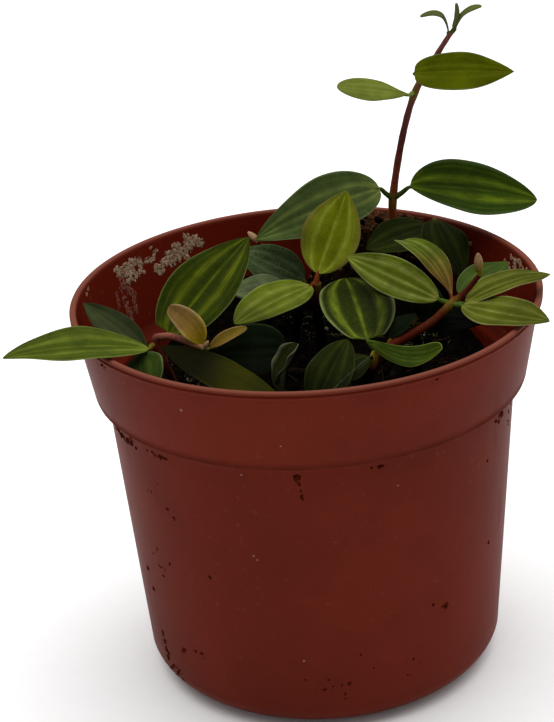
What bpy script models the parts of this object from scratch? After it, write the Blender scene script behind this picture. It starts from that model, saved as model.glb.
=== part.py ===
"""Beetle peperomia in a thin-walled plastic nursery pot, at real size.

Metres, +Z up. The origin is the middle of the pot's flat base. Sizes in this file are in
millimetres and turn into metres where a mesh is made.
"""

import math

import bpy
from mathutils import Vector, noise

MM = 0.001

# Pot
POT_RADIUS = 60.0
POT_HEIGHT = 102.4
WALL = 1.2
FLOOR = 1.4
COLLAR_HEIGHT = 22.0
COLLAR_FOOT_RADIUS = 55.6
COLLAR_TOP_RADIUS = 59.2
BODY_TOP_RADIUS = 52.4
BODY_FOOT_RADIUS = 47.2
STEP_HEIGHT = 3.2
BEAD_HEIGHT = 1.8
HEEL = 10.0
POT_SIDES = 48
DRAIN_HOLES = 8
DRAIN_HOLE_RADIUS = 3.5
DRAIN_CIRCLE = 27.0

# Soil
GAP = 0.3
SOIL_LEVEL = 74.0
HEAP_TOP = 100.5
HEAP_CENTRE = (23.0, 50.0)
HEAP_REACH = 19.0
MOUND_TOP = 85.0
MOUND_CENTRE = (-17.0, 46.0)
MOUND_REACH = 15.0
LUMP_SIZE = 9.0
LUMP_HEIGHT = 1.6
SOIL_CELL = 4.0

# Leaves and stems
BLADE = 0.7
BLADE_END = 0.4
STEM_SIDES = 6
PETIOLE_RADIUS = 0.8


def clear_scene():
    for obj in list(bpy.data.objects):
        bpy.data.objects.remove(obj, do_unlink=True)


def material(name, colour, roughness):
    """A plain finish: base colour, no metal."""
    made = bpy.data.materials.new(name)
    made.use_nodes = True
    shader = made.node_tree.nodes["Principled BSDF"]
    shader.inputs["Base Color"].default_value = (*colour, 1.0)
    shader.inputs["Roughness"].default_value = roughness
    shader.inputs["Metallic"].default_value = 0.0
    return made


def solid(name, points, faces, collection=None):
    """A mesh object from points in millimetres."""
    mesh = bpy.data.meshes.new(name)
    mesh.from_pydata([Vector(point) * MM for point in points], [], faces)
    mesh.update()
    made = bpy.data.objects.new(name, mesh)
    (collection or bpy.context.scene.collection).objects.link(made)
    return made


def applied(obj):
    """Turns the object's modifiers into its mesh."""
    graph = bpy.context.evaluated_depsgraph_get()
    mesh = bpy.data.meshes.new_from_object(obj.evaluated_get(graph))
    obj.modifiers.clear()
    obj.data = mesh


def cutter(obj):
    obj.hide_render = True
    obj.display_type = "WIRE"


def boolean(obj, operation, other, solver="EXACT"):
    made = obj.modifiers.new(operation.title(), "BOOLEAN")
    made.operation = operation
    made.object = other
    made.solver = solver


def turned(name, profile, sides):
    """A closed turned solid. The profile runs from the axis at the foot, up the outside,
    and back to the axis."""
    points = [(0.0, 0.0, profile[0][1]), (0.0, 0.0, profile[-1][1])]
    rings = profile[1:-1]
    for side in range(sides):
        angle = 2 * math.pi * side / sides
        points += [(r * math.cos(angle), r * math.sin(angle), z) for r, z in rings]
    faces = []
    count = len(rings)
    for side in range(sides):
        here = 2 + side * count
        there = 2 + (side + 1) % sides * count
        faces.append((0, there, here))
        faces.append((1, here + count - 1, there + count - 1))
        for i in range(count - 1):
            faces.append((here + i, there + i, there + i + 1, here + i + 1))
    return solid(name, points, faces)


def rods(name, ends, radius, sides):
    """One straight round rod for each pair of end points, in one mesh."""
    points = []
    faces = []
    for low, high in ends:
        more_points, more_faces = tube_shape([Vector(low), Vector(high)], [radius, radius], sides)
        faces += [tuple(index + len(points) for index in face) for face in more_faces]
        points += more_points
    return solid(name, points, faces)


def outer_profile():
    """The pot's outside from the middle of its base up to the top of its rim."""
    collar_foot = POT_HEIGHT - COLLAR_HEIGHT
    body_top = collar_foot - STEP_HEIGHT
    bead_foot = POT_HEIGHT - BEAD_HEIGHT
    heel = []
    for degrees in (0, 25, 50, 75):
        angle = math.radians(degrees)
        r = BODY_FOOT_RADIUS - HEEL + HEEL * math.sin(angle)
        heel.append((r, HEEL * 0.9 * (1 - math.cos(angle))))
    return [
        (0.0, 0.0),
        *heel,
        (BODY_TOP_RADIUS, body_top),
        (BODY_TOP_RADIUS + 0.8, body_top + 1.8),
        (COLLAR_FOOT_RADIUS - 0.6, collar_foot - 0.6),
        (COLLAR_FOOT_RADIUS, collar_foot),
        (COLLAR_TOP_RADIUS, bead_foot),
        (POT_RADIUS - 0.1, bead_foot + 0.5),
        (POT_RADIUS, POT_HEIGHT - 0.7),
        (POT_RADIUS - 0.5, POT_HEIGHT),
    ]


def inner_profile(inset=0.0):
    """The pot's inside from the rim down to the middle of its floor, drawn in by the inset."""
    collar_foot = POT_HEIGHT - COLLAR_HEIGHT
    body_top = collar_foot - STEP_HEIGHT
    wall = WALL + inset
    floor = FLOOR + inset
    heel_radius = BODY_FOOT_RADIUS - HEEL
    return [
        (COLLAR_TOP_RADIUS - wall + 0.5, POT_HEIGHT - 0.1),
        (COLLAR_TOP_RADIUS - wall, POT_HEIGHT - BEAD_HEIGHT),
        (COLLAR_FOOT_RADIUS - wall, collar_foot + 0.7),
        (BODY_TOP_RADIUS - wall, body_top + 1.0),
        (BODY_FOOT_RADIUS - wall, HEEL * 0.9),
        (heel_radius + 6.0 - wall, floor + 1.8),
        (heel_radius, floor),
        (0.0, floor),
    ]


def pot():
    shell = turned("pot", outer_profile() + inner_profile(), POT_SIDES)
    ends = []
    for hole in range(DRAIN_HOLES):
        angle = 2 * math.pi * (hole + 0.5) / DRAIN_HOLES
        x = DRAIN_CIRCLE * math.cos(angle)
        y = DRAIN_CIRCLE * math.sin(angle)
        ends.append(((x, y, -3.0), (x, y, FLOOR + 3.0)))
    drains = rods("drain_cutter", ends, DRAIN_HOLE_RADIUS, 12)
    cutter(drains)
    boolean(shell, "DIFFERENCE", drains)
    shell.data.materials.append(material("terracotta_plastic", (0.31, 0.085, 0.06), 0.5))
    shell.data.shade_smooth()
    shell.data.set_sharp_from_angle(angle=math.radians(35))


def soil_height(x, y):
    """The soil's surface: low and lumpy, and heaped against the wall at the back right."""
    lumps = noise.noise(Vector((x, y, 3.0)) / LUMP_SIZE) * LUMP_HEIGHT
    away = math.hypot(x - HEAP_CENTRE[0], y - HEAP_CENTRE[1]) / HEAP_REACH
    heap = (HEAP_TOP - SOIL_LEVEL) * min(1.0, 1.35 * math.exp(-away * away))
    away = math.hypot(x - MOUND_CENTRE[0], y - MOUND_CENTRE[1]) / MOUND_REACH
    mound = (MOUND_TOP - SOIL_LEVEL) * min(1.0, 1.35 * math.exp(-away * away))
    return SOIL_LEVEL + max(heap, mound) + lumps


def soil_block():
    """A block whose top is the soil's surface, wider than the pot."""
    cells = math.ceil(POT_RADIUS / SOIL_CELL) + 1
    across = 2 * cells + 1
    points = []
    for row in range(across):
        for column in range(across):
            x = (column - cells) * SOIL_CELL
            y = (row - cells) * SOIL_CELL
            points.append((x, y, soil_height(x, y)))
    points += [(x, y, -5.0) for x, y, _ in points]
    below = across * across
    faces = []
    for row in range(across - 1):
        for column in range(across - 1):
            corner = row * across + column
            faces.append((corner, corner + 1, corner + across + 1))
            faces.append((corner, corner + across + 1, corner + across))
    last = across - 1
    south = list(range(across))
    east = [row * across + last for row in range(across)]
    north = [last * across + column for column in range(last, -1, -1)]
    west = [row * across for row in range(last, -1, -1)]
    for edge in (south, east, north, west):
        for a, b in zip(edge, edge[1:]):
            faces.append((a, a + below, b + below, b))
    ring = south[:-1] + east[:-1] + north[:-1] + west[:-1]
    faces.append(tuple(below + index for index in reversed(ring)))
    return solid("soil_surface_cutter", points, faces)


def soil(roots):
    """The peat, with a plain hole for each stem."""
    foot = [(r, z) for r, z in reversed(inner_profile(GAP))]
    filling = turned("soil", foot + [(0.0, POT_HEIGHT - 0.1)], POT_SIDES)
    surface = soil_block()
    cutter(surface)
    boolean(filling, "INTERSECT", surface, "MANIFOLD")
    for root, radius in roots:
        hole = rods("stem_hole_cutter", [root], radius + GAP, 8)
        cutter(hole)
        boolean(filling, "DIFFERENCE", hole, "MANIFOLD")
    filling.data.materials.append(material("peat", (0.028, 0.017, 0.011), 0.95))


def smooth_route(points, steps):
    """Points along a smooth curve through the given points."""
    points = [Vector(point) for point in points]
    route = []
    for i in range(len(points) - 1):
        before = points[max(i - 1, 0)]
        here = points[i]
        there = points[i + 1]
        after = points[min(i + 2, len(points) - 1)]
        for step in range(steps):
            t = step / steps
            even = 2 * here + (2 * before - 5 * here + 4 * there - after) * t * t
            odd = (there - before) * t + (3 * here - before - 3 * there + after) * t**3
            route.append((even + odd) / 2)
    return route + [points[-1]]


def tube_shape(route, radii, sides):
    """Points and faces of a tube along a route, with flat ends."""
    points = []
    faces = []
    across = None
    for i, (centre, radius) in enumerate(zip(route, radii)):
        along = (route[min(i + 1, len(route) - 1)] - route[max(i - 1, 0)]).normalized()
        if across is None:
            across = along.orthogonal()
        across = (across - across.dot(along) * along).normalized()
        other = along.cross(across)
        for side in range(sides):
            angle = 2 * math.pi * side / sides
            points.append(centre + radius * (math.cos(angle) * across + math.sin(angle) * other))
    for ring in range(len(route) - 1):
        for side in range(sides):
            a = ring * sides + side
            b = ring * sides + (side + 1) % sides
            faces.append((a, b, b + sides, a + sides))
    last = (len(route) - 1) * sides
    faces.append(tuple(reversed(range(sides))))
    faces.append(tuple(range(last, last + sides)))
    return points, faces


def outline(t, widest):
    """The blade's half width at t along its length, as a share of its widest."""
    if t <= 0 or t >= 1:
        return 0.0
    power = math.log(0.5) / math.log(widest)
    return math.sin(math.pi * t**power) ** 0.85


def blade_shape(base, tip, width, faces_to, arch, cup, sweep, widest, skew, lobe, rows, columns):
    """Points and faces of one leaf blade.

    The midrib runs from base to tip and rises by arch, or bows sideways by sweep. The upper
    side looks towards faces_to. The edges rise by cup times the half width. Skew moves the
    widest place of one half towards the base and of the other towards the tip, and lobe
    draws the base back on both sides of the stalk.
    """
    base = Vector(base)
    tip = Vector(tip)
    length = (tip - base).length
    along = (tip - base).normalized()
    up = Vector(faces_to)
    up = (up - up.dot(along) * along).normalized()
    side = up.cross(along)
    upper = []
    lower = []
    for row in range(rows + 1):
        t = row / rows
        bow = 4 * t * (1 - t)
        slope = 4 * (1 - 2 * t)
        centre = base + along * (length * t) + up * (arch * bow) + side * (sweep * bow)
        heading = (along * length + up * (arch * slope) + side * (sweep * slope)).normalized()
        here_up = (up - up.dot(heading) * heading).normalized()
        here_side = here_up.cross(heading)
        for column in range(columns + 1):
            v = 2 * column / columns - 1
            place = widest - math.copysign(skew, v) if v else widest
            half = max(width / 2 * outline(t, place), BLADE_END)
            rise = cup * half * abs(v) ** 1.5
            back = lobe * abs(v) * (1 - t) ** 4 if row else 0.0
            point = centre + here_side * (half * v) + here_up * rise - along * back
            upper.append(point)
            lower.append(point - here_up * BLADE)
    count = len(upper)
    across = columns + 1
    faces = []
    for row in range(rows):
        for column in range(columns):
            a = row * across + column
            b = a + across
            faces.append((a, b, b + 1))
            faces.append((a, b + 1, a + 1))
            faces.append((a + count, b + 1 + count, b + count))
            faces.append((a + count, a + 1 + count, b + 1 + count))
    rim = list(range(columns))
    rim += [row * across + columns for row in range(rows)]
    rim += [rows * across + column for column in range(columns, 0, -1)]
    rim += [row * across for row in range(rows, 0, -1)]
    for a, b in zip(rim, rim[1:] + rim[:1]):
        faces.append((a, b, b + count))
        faces.append((a, b + count, a + count))
    return upper + lower, faces


class Shoot:
    """One leafy stem, whose parts are joined into one body."""

    def __init__(self, name):
        self.name = name
        self.pieces = bpy.data.collections.new(name)
        bpy.context.scene.collection.children.link(self.pieces)
        self.root = None

    def add(self, points, faces):
        solid(self.name + "_piece", points, faces, self.pieces)

    def stem(self, root, route, foot_radius, tip_radius, steps=2):
        """A straight root end down in the soil, then a smooth stem through the route."""
        curve = [Vector(root)] + smooth_route(route, steps)
        last = len(curve) - 1
        radii = [foot_radius + (tip_radius - foot_radius) * i / last for i in range(last + 1)]
        self.add(*tube_shape(curve, radii, STEM_SIDES))
        ground = Vector(route[0])
        down = (Vector(root) - ground).normalized()
        hole = (Vector(root) + down * GAP, ground - down * 5.0)
        self.root = (hole, foot_radius)

    def twig(self, route, foot_radius, tip_radius):
        curve = smooth_route(route, 2)
        last = len(curve) - 1
        radii = [foot_radius + (tip_radius - foot_radius) * i / last for i in range(last + 1)]
        self.add(*tube_shape(curve, radii, 5))

    def bud(self, foot, tip, radius):
        foot = Vector(foot)
        tip = Vector(tip)
        route = [foot.lerp(tip, share) for share in (-0.1, 0.3, 0.65, 0.9, 1.0)]
        radii = [radius * share for share in (0.7, 1.0, 0.9, 0.6, 0.3)]
        self.add(*tube_shape(route, radii, 6))

    def leaf(self, node, base, tip, width, faces_to, arch=0.0, cup=0.15, sweep=0.0,
             widest=0.45, skew=0.0, lobe=0.0):
        """A blade from base to tip, on a stalk from the stem's node."""
        small = width < 9.0
        rows, columns = (5, 2) if small else (7, 4)
        shape = blade_shape(
            base, tip, width, faces_to, arch, cup, sweep, widest, skew, lobe, rows, columns
        )
        self.add(*shape)
        node = Vector(node)
        base = Vector(base)
        inside = base + (Vector(tip) - base).normalized() * 1.8
        middle = node.lerp(base, 0.6)
        radii = [PETIOLE_RADIUS, PETIOLE_RADIUS * 0.9, PETIOLE_RADIUS * 0.75, PETIOLE_RADIUS * 0.5]
        self.add(*tube_shape([node, middle, base, inside], radii, 4))

    def joined(self, finish):
        """Fuses the pieces and leaves one object."""
        pieces = list(self.pieces.objects)
        body = pieces[0]
        self.pieces.objects.unlink(body)
        bpy.context.scene.collection.objects.link(body)
        union = body.modifiers.new("Union", "BOOLEAN")
        union.operation = "UNION"
        union.operand_type = "COLLECTION"
        union.collection = self.pieces
        bpy.context.view_layer.update()
        applied(body)
        for piece in pieces[1:]:
            bpy.data.objects.remove(piece, do_unlink=True)
        bpy.data.collections.remove(self.pieces)
        body.name = self.name
        body.data.materials.clear()
        body.data.materials.append(finish)
        return self.root


def upright_shoot():
    shoot = Shoot("shoot_upright")
    lower = (25, 41, 110)
    upper = (32, 39, 140.5)
    top = (41.2, 39, 155)
    route = [(25, 42, 100), lower, (28, 40, 127), upper, (38, 39, 150.2), (41.8, 39, 155.8)]
    shoot.stem((25, 42, 86), route, 1.15, 0.7)
    shoot.leaf(lower, (29.5, 38, 114.5), (63, 34, 110), 16.8, (1, -7, 10), arch=1.8, skew=0.1)
    shoot.leaf(lower, (21.5, 38, 114.5), (-12.5, 34, 103.5), 17.5, (-2, -8, 10), arch=2, widest=0.36)
    shoot.leaf(upper, (31.6, 35.3, 146.1), (57.5, 34, 145.8), 9.2, (0, -9, 6), arch=1, cup=0.1,
               widest=0.42)
    shoot.leaf(upper, (30.5, 38, 140.3), (11.5, 36, 144.2), 10, (0, -3, 10), cup=0.1, widest=0.55)
    shoot.leaf(top, (41.2, 39, 156.5), (33.8, 38, 161), 2.3, (-3, -2, 10), arch=3)
    shoot.leaf(top, (42.2, 39, 157), (43.3, 39, 163.5), 2.4, (-10, -3, 0), arch=-0.5)
    shoot.leaf(top, (42.8, 39, 157), (49.8, 38, 162.8), 2.3, (-6, -2, 10), arch=1.8)
    return shoot


def left_shoot():
    shoot = Shoot("shoot_left")
    node = (-37.5, -23, 100.5)
    end = (-25.6, -24.3, 99)
    route = [(-30, -26, 75), (-33, -26, 90), node, (-35.2, -23, 102.3), (-31.8, -24, 102), end]
    shoot.stem((-29.5, -26, 62), route, 1.05, 0.8, steps=3)
    shoot.leaf(node, (-39, -25, 100.3), (-73, -37, 105.5), 15, (0, -1.5, 10), arch=1.8)
    shoot.leaf(node, (-40, -22, 98.5), (-56.5, 0.5, 102.5), 8, (-4, -4, 10), cup=0.1)
    shoot.leaf(node, (-40.3, -24, 98.6), (-37.5, -37.5, 92.5), 13.5, (-6, -6, 10), arch=1, cup=0.1,
               widest=0.52)
    shoot.leaf((-36.5, -22.8, 101.6), (-34, -20, 101.5), (-13.5, 2, 117), 18, (-3, -8, 8), arch=1,
               widest=0.4, lobe=2)
    shoot.leaf(end, (-25.8, -24.3, 99.8), (-33.6, -22, 109.4), 6.4, (2, -8, 4), arch=1, cup=0.2,
               sweep=-0.9)
    shoot.leaf(end, (-24.4, -24.3, 99), (-14.8, -22, 102.9), 3.3, (-1, -6, 8), arch=0.8, cup=0.3)
    shoot.bud(end, (-24.4, -24.5, 101), 0.65)
    return shoot


def centre_shoot():
    shoot = Shoot("shoot_centre")
    node = (3, 18.5, 96.5)
    shoot.stem((4, 14, 62), [(4, 15, 75), (3, 18, 88), node], 1.4, 1.1)
    shoot.leaf(node, (3.5, 20, 98.5), (12.5, 31, 117), 15.5, (0, -8, 6), arch=-0.5, cup=0.12)
    shoot.leaf(node, (1.5, 17, 96.5), (-18.5, 1, 93.8), 14, (-2, -4, 10), arch=1)
    return shoot


def right_shoot():
    shoot = Shoot("shoot_right")
    lower = (17, -28, 96)
    upper = (36, -13.5, 102)
    route = [(9, -21, 75), (13.5, -25, 88), lower, (22, -24, 97.5), (30, -18, 99), upper,
             (41, -12, 105), (43.7, -12, 107.6)]
    shoot.stem((8, -20, 62), route, 1.8, 0.9)
    shoot.leaf(lower, (14.4, -26.5, 99.8), (10.5, 5, 103), 18.5, (0.5, -3.5, 10), arch=1.5, lobe=2)
    shoot.leaf(lower, (14.8, -31, 101.4), (31.6, -38, 101.6), 6.6, (-2, -5, 9), arch=-5.6, cup=0.2,
               widest=0.66)
    shoot.leaf((19, -26, 97), (20, -24, 98.5), (27, -14, 100.5), 6, (-4, -5, 8), arch=0.5, cup=0.3)
    shoot.leaf(lower, (14.7, -30.5, 96.8), (5.2, -38, 92.3), 7.5, (-3, -6, 8), arch=0.5, cup=0.1,
               sweep=-1)
    shoot.leaf(upper, (33, -12, 103), (11, 0, 111), 10.3, (-2, -7, 8), arch=0.8)
    shoot.leaf(upper, (36.5, -12, 103.4), (25.3, 8, 111.2), 7.4, (4, -3, 9), arch=3, cup=0.25,
               widest=0.58)
    shoot.leaf(upper, (39.5, -14, 102.5), (61.2, -8, 106.3), 11.8, (0, 0, 10), arch=1.7,
               widest=0.42)
    shoot.leaf(upper, (38.5, -16, 102.8), (57.8, -34, 105.2), 12, (0, -3, 10), arch=-0.3)
    shoot.leaf(upper, (38.5, -10, 103), (52, 6, 104.5), 10, (-1, -4, 10), arch=0.5, cup=0.1)
    shoot.bud((43.5, -12, 108), (42.9, -12, 114.3), 1.0)
    return shoot


def front_left_shoot():
    shoot = Shoot("shoot_front_left")
    node = (-7.5, -37, 91)
    shoot.stem((-8, -33, 62), [(-8, -33, 75), (-8, -36, 84), node], 1.3, 1.1)
    shoot.leaf(node, (-7.5, -38.8, 92), (-35.6, -29.2, 102.6), 14.5, (0, -1, 10), arch=-1.2,
               cup=0.05, skew=-0.12)
    shoot.leaf(node, (-5.5, -24, 97.5), (-23.3, -21, 96), 14, (0, -6.6, 7.5), arch=0.6, cup=0.1)
    shoot.leaf(node, (-8.6, -36, 94), (-2.6, -31, 101.8), 7.8, (-8, -4, 4), cup=0.6)
    return shoot


def front_shoot():
    shoot = Shoot("shoot_front")
    node = (2.5, -42, 88)
    shoot.stem((2, -38, 62), [(2, -38, 75), (2, -40, 84), node], 1.2, 1.0)
    shoot.leaf(node, (0.8, -42, 90.3), (9.4, -30, 101.7), 11.5, (-3, -8, 6), arch=0.5)
    return shoot


def back_left_shoot():
    shoot = Shoot("shoot_back_left")
    node = (0, 27, 91)
    shoot.stem((-4, 26, 62), [(-4, 26, 75), (-2, 27, 84), node], 1.2, 1.0)
    shoot.leaf(node, (0, 28.5, 93.3), (-17, 36, 100), 13, (1, -6, 10), arch=0.5, cup=0.1)
    shoot.leaf(node, (-2, 25.5, 91.5), (-19, 16, 96), 12, (1, -5, 10), arch=0.5, cup=0.1)
    shoot.twig([node, (-6, 35, 96), (-12, 39, 101)], 0.8, 0.6)
    shoot.bud((-12, 39, 101), (-14.5, 40, 103.5), 0.9)
    return shoot


def back_right_shoot():
    shoot = Shoot("shoot_back_right")
    node = (36, 41, 103)
    shoot.stem((34, 36, 85), [(35, 38.5, 100), node], 1.2, 0.9)
    shoot.leaf((36, 40.5, 102), (34.5, 39, 102.5), (16.8, 28, 101.2), 12, (0, -6, 10), arch=0.5,
               cup=0.1)
    shoot.leaf(node, (36, 40, 104), (41.8, 23.5, 93.5), 13, (3, -4, 10), arch=1.2, cup=0.1, sweep=-1)
    return shoot


def middle_right_shoot():
    shoot = Shoot("shoot_middle_right")
    node = (28, 3, 90)
    shoot.stem((28, 7, 62), [(28, 6, 75), (28, 4, 84), node], 1.2, 1.0)
    shoot.leaf(node, (29, 1.5, 92), (29.5, -2, 105), 13, (-2, -8, 4), cup=0.1)
    shoot.leaf(node, (29, 1, 91), (44, -8, 94), 10, (-1, -4, 10), arch=1, cup=0.1)
    return shoot


def build():
    clear_scene()
    pot()
    greens = {
        upright_shoot: (0.05, 0.085, 0.02),
        left_shoot: (0.085, 0.12, 0.025),
        centre_shoot: (0.13, 0.17, 0.03),
        right_shoot: (0.10, 0.14, 0.03),
        front_left_shoot: (0.05, 0.07, 0.02),
        front_shoot: (0.045, 0.075, 0.02),
        back_left_shoot: (0.06, 0.085, 0.04),
        back_right_shoot: (0.03, 0.05, 0.02),
        middle_right_shoot: (0.035, 0.06, 0.02),
    }
    roots = []
    for make, colour in greens.items():
        shoot = make()
        roots.append(shoot.joined(material(shoot.name + "_green", colour, 0.45)))
    soil(roots)


build()
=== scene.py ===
"""The looks of the potted beetle peperomia: pot, peat, stems and leaves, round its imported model.

Metres, +Z up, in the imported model's frame. Sizes in this file are in millimetres and turn
into metres where a mesh is made. Colours are given as they look on a screen, 0 to 255.
"""

import math
import random

import bmesh
import bpy
from mathutils import Matrix, Vector, noise


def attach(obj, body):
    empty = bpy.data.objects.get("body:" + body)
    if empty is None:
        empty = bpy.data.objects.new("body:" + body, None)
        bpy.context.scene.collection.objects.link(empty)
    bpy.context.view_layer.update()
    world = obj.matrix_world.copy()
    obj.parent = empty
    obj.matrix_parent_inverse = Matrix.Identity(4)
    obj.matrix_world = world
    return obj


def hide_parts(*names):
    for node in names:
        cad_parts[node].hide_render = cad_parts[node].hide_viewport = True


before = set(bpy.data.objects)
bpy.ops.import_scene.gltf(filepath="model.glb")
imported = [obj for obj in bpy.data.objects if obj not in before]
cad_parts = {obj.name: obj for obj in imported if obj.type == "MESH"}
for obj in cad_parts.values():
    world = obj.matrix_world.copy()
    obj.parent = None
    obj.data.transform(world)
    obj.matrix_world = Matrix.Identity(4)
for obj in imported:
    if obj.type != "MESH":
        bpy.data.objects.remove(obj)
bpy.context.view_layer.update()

MM = 0.001
WHITE = (1.0, 1.0, 1.0)

# Pot
POT_HEIGHT = 102.4
POT_SIDES = 192
DRAIN_HOLES = 8
DRAIN_HOLE_RADIUS = 3.5
DRAIN_CIRCLE = 27.0
DRILL_SIDES = 32
DRILL_PAST = 3.0
SHARP_EDGE = 50
# The band of painted shade in the seam under the collar: its height and width
SEAM = 80.2
SEAM_WIDTH = 1.3
CROWN_DEPTH = 0.8
HEEL_FOOT_RADIUS = 37.2
HEEL_REACH = 10.0
HEEL_RISE = 9.0
HEEL_TURN = 75
HEEL_STEPS = 11
SIDE_STEPS = 12
OUTSIDE = [
    (52.4, 77.2), (52.47, 77.9), (52.7, 78.6), (53.15, 79.1), (53.8, 79.4), (54.5, 79.55),
    (55.1, 79.75), (55.45, 80.1), (55.62, 80.6), (59.02, 99.8), (59.12, 100.2), (59.45, 100.4),
    (59.8, 100.5), (59.93, 100.7), (59.93, 100.95), (59.8, 101.1), (59.62, 101.2),
    (59.6, 101.35), (59.8, 101.45), (59.97, 101.65), (60.0, 101.9), (59.87, 102.15),
    (59.6, 102.33), (59.25, 102.4),
]
INSIDE = [
    (58.85, 102.36), (58.5, 102.2), (58.3, 101.9), (58.2, 101.4), (58.0, 100.4), (54.5, 81.6),
    (54.35, 81.0), (53.9, 80.4), (51.7, 78.6), (51.35, 78.2), (51.2, 77.6), (46.0, 9.0),
    (44.6, 5.6), (42.0, 3.2), (39.0, 1.8), (37.2, 1.4),
]
POT_FLOOR = 1.4

# Peat
GAP = 0.3
SOIL_LEVEL = 74.0
HEAP_CENTRE = (23.0, 50.0)
HEAP_REACH = 19.0
# What rises above the soil's level, a high heap and a mound at the back wall: centre, reach, top
RISES = ((HEAP_CENTRE, HEAP_REACH, 101.5), ((-17.0, 46.0), 15.0, 85.0))
RISE_FULLNESS = 1.35
# Lumps on the soil, from coarse to fine: layer of the noise, size, height
LUMPS = ((3.0, 9.0, 1.6), (8.0, 3.1, 0.8), (5.0, 1.3, 0.45))
BELOW_LIP = 1.2
PEAT_SIDES = 300
PEAT_RINGS = 84
PEAT_LEVELS = 12
PEAT_FOOT = 2.0
EDGE_ROUNDS = 6
WALL_BENDS = (81.6, 80.4, 78.6, 77.6, 9.0, 5.6, 3.2, PEAT_FOOT)
DRY_HEIGHT = 80.0
DRY_RISE = 12.0
# How much of red, green and blue dry peat has over the rest of the peat
DRY_GAINS = (8, 5, 2)
CRUMBS = 950
HEAP_CRUMBS = 950
HEAP_SPREAD = (8.5, 7.0)
# Half sizes of crumbs and of soil specks: the smallest, and how much more the largest has
CRUMB_SIZES = (0.35, 1.5)
HEAP_CRUMB_SIZES = (0.22, 0.75)
SPECK_SIZES = (0.14, 0.34)
# The least and the most
TUFT_SIZES = (0.18, 0.55)
FIBRE_LENGTHS = (2.5, 7.0)
FIBRE_RADII = (0.08, 0.2)
FIBRES = 150
FIBRES_WITHIN = 52
FIBRES_BELOW = 94

# Leaves and stems
BLADE = 0.65
BLADE_END = 0.12
# Rows and columns of points on a blade, and on a narrow one
BLADE_GRID = (48, 24)
NARROW_GRID = (30, 14)
NARROW = 7
MARGIN_DROP = 0.3
SIDE_VEIN = 0.42
MIDRIB_RIDGE = 0.3
MIDRIB_GROOVE = 0.22
VEIN_GROOVE = 0.13
SWELL_BETWEEN = 0.12
JOINT_REACH = 2.2
JOINT_SWELL = 0.2
STEM_SIDES = 14
STALK_SIDES = 10
PETIOLE_RADIUS = 0.8
PETIOLE_THINNING = 0.38
# Painted shade deep inside the pot: the heights where it is deepest and where it ends, its radius and
# soft edge, and the most it takes
DARK_HEIGHT = 88.0
UNSHADED_HEIGHT = 102.0
SHADED_WITHIN = 45.0
SHADED_EDGE = 8.0
DEEPEST = 0.8

# Camera, light and floor
CAMERA_PLACE = (0.0, -521.4, 324.2)
CAMERA_PITCH = 0.433
CAMERA_YAW = -0.016
CAMERA_ROLL = -0.067
FOCAL_PIXELS = 2231.0
PHOTO_HEIGHT = 722
SENSOR = 36.0
ROOM_LIGHT = 0.36
# Soft lamps: name, place, aim, width and height in metres, and power in watts
SOFTBOXES = (
    ("overhead", (0.0, 0.4, 2.2), (0, 0.1, 0), 3.6, 3.2, 88),
    ("left side", (-1.5, 0.2, 0.6), (0, 0, 0.08), 0.8, 1.2, 1.5),
    ("right side", (1.5, 0.3, 0.6), (0, 0, 0.08), 0.8, 1.2, 3.5),
)
FLOOR_REACH = 4.0

draw = random.Random(11)
waves = random.Random(3)


def linear(colour):
    """A screen colour, 0 to 255, as the light values that shaders use."""
    shares = [value / 255 for value in colour]
    return tuple(s / 12.92 if s <= 0.04045 else ((s + 0.055) / 1.055) ** 2.4 for s in shares)


def rgba(colour):
    return (*linear(colour), 1.0)


# Shader building

class Nodes:
    """Adds nodes to one tree and feeds their inputs."""

    def __init__(self, tree):
        self.tree = tree

    def add(self, kind, feeds=None, **settings):
        node = self.tree.nodes.new("ShaderNode" + kind)
        for name, value in settings.items():
            setattr(node, name, value)
        for key, value in (feeds or {}).items():
            self.feed(node.inputs[key], value)
        return node

    def feed(self, socket, value):
        if isinstance(value, bpy.types.NodeSocket):
            self.tree.links.new(value, socket)
        else:
            socket.default_value = value

    def math(self, operation, *values, clamp=False):
        feeds = dict(enumerate(values))
        return self.add("Math", feeds, operation=operation, use_clamp=clamp).outputs[0]

    def times(self, first, second, clamp=False):
        return self.math("MULTIPLY", first, second, clamp=clamp)

    def scaled(self, value, factor, shift, clamp=False):
        return self.math("MULTIPLY_ADD", value, factor, shift, clamp=clamp)

    def mix(self, share, low, high, mode="MIX"):
        feeds = {0: share, 6: low, 7: high}
        node = self.add("Mix", feeds, data_type="RGBA", blend_type=mode, clamp_factor=True)
        return node.outputs[2]

    def shaded(self, colour):
        """The colour times the shade that the mesh holds at each point."""
        shade = self.add("Attribute", attribute_name="shade").outputs["Color"]
        return self.mix(1.0, colour, shade, "MULTIPLY")

    def body(self):
        return self.add("TexCoord").outputs["Object"]

    def rise(self, value, start, end, low=0.0, high=1.0):
        """Goes smoothly from low to high as the value goes from start to end."""
        feeds = {0: value, 1: start, 2: end, 3: low, 4: high}
        return self.add("MapRange", feeds, interpolation_type="SMOOTHSTEP").outputs[0]

    def stretched(self, where, scale):
        return self.add("VectorMath", {0: where, 1: scale}, operation="MULTIPLY").outputs[0]

    def noise(self, where, scale, detail=2.0, roughness=0.5):
        """Soft noise, with one scale or with one for each direction."""
        if isinstance(scale, tuple):
            where = self.stretched(where, scale)
            scale = 1.0
        feeds = {"Vector": where, "Scale": scale, "Detail": detail, "Roughness": roughness}
        return self.add("TexNoise", feeds).outputs["Fac"]

    def band(self, value, centre, width):
        """One at the centre, fading on both sides like a bell."""
        offset = self.math("DIVIDE", self.math("SUBTRACT", value, centre), width)
        return self.math("EXPONENT", self.times(self.times(offset, offset), -1.0))

    def place(self, group, feeds):
        return self.add("Group", feeds, node_tree=group).outputs


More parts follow.
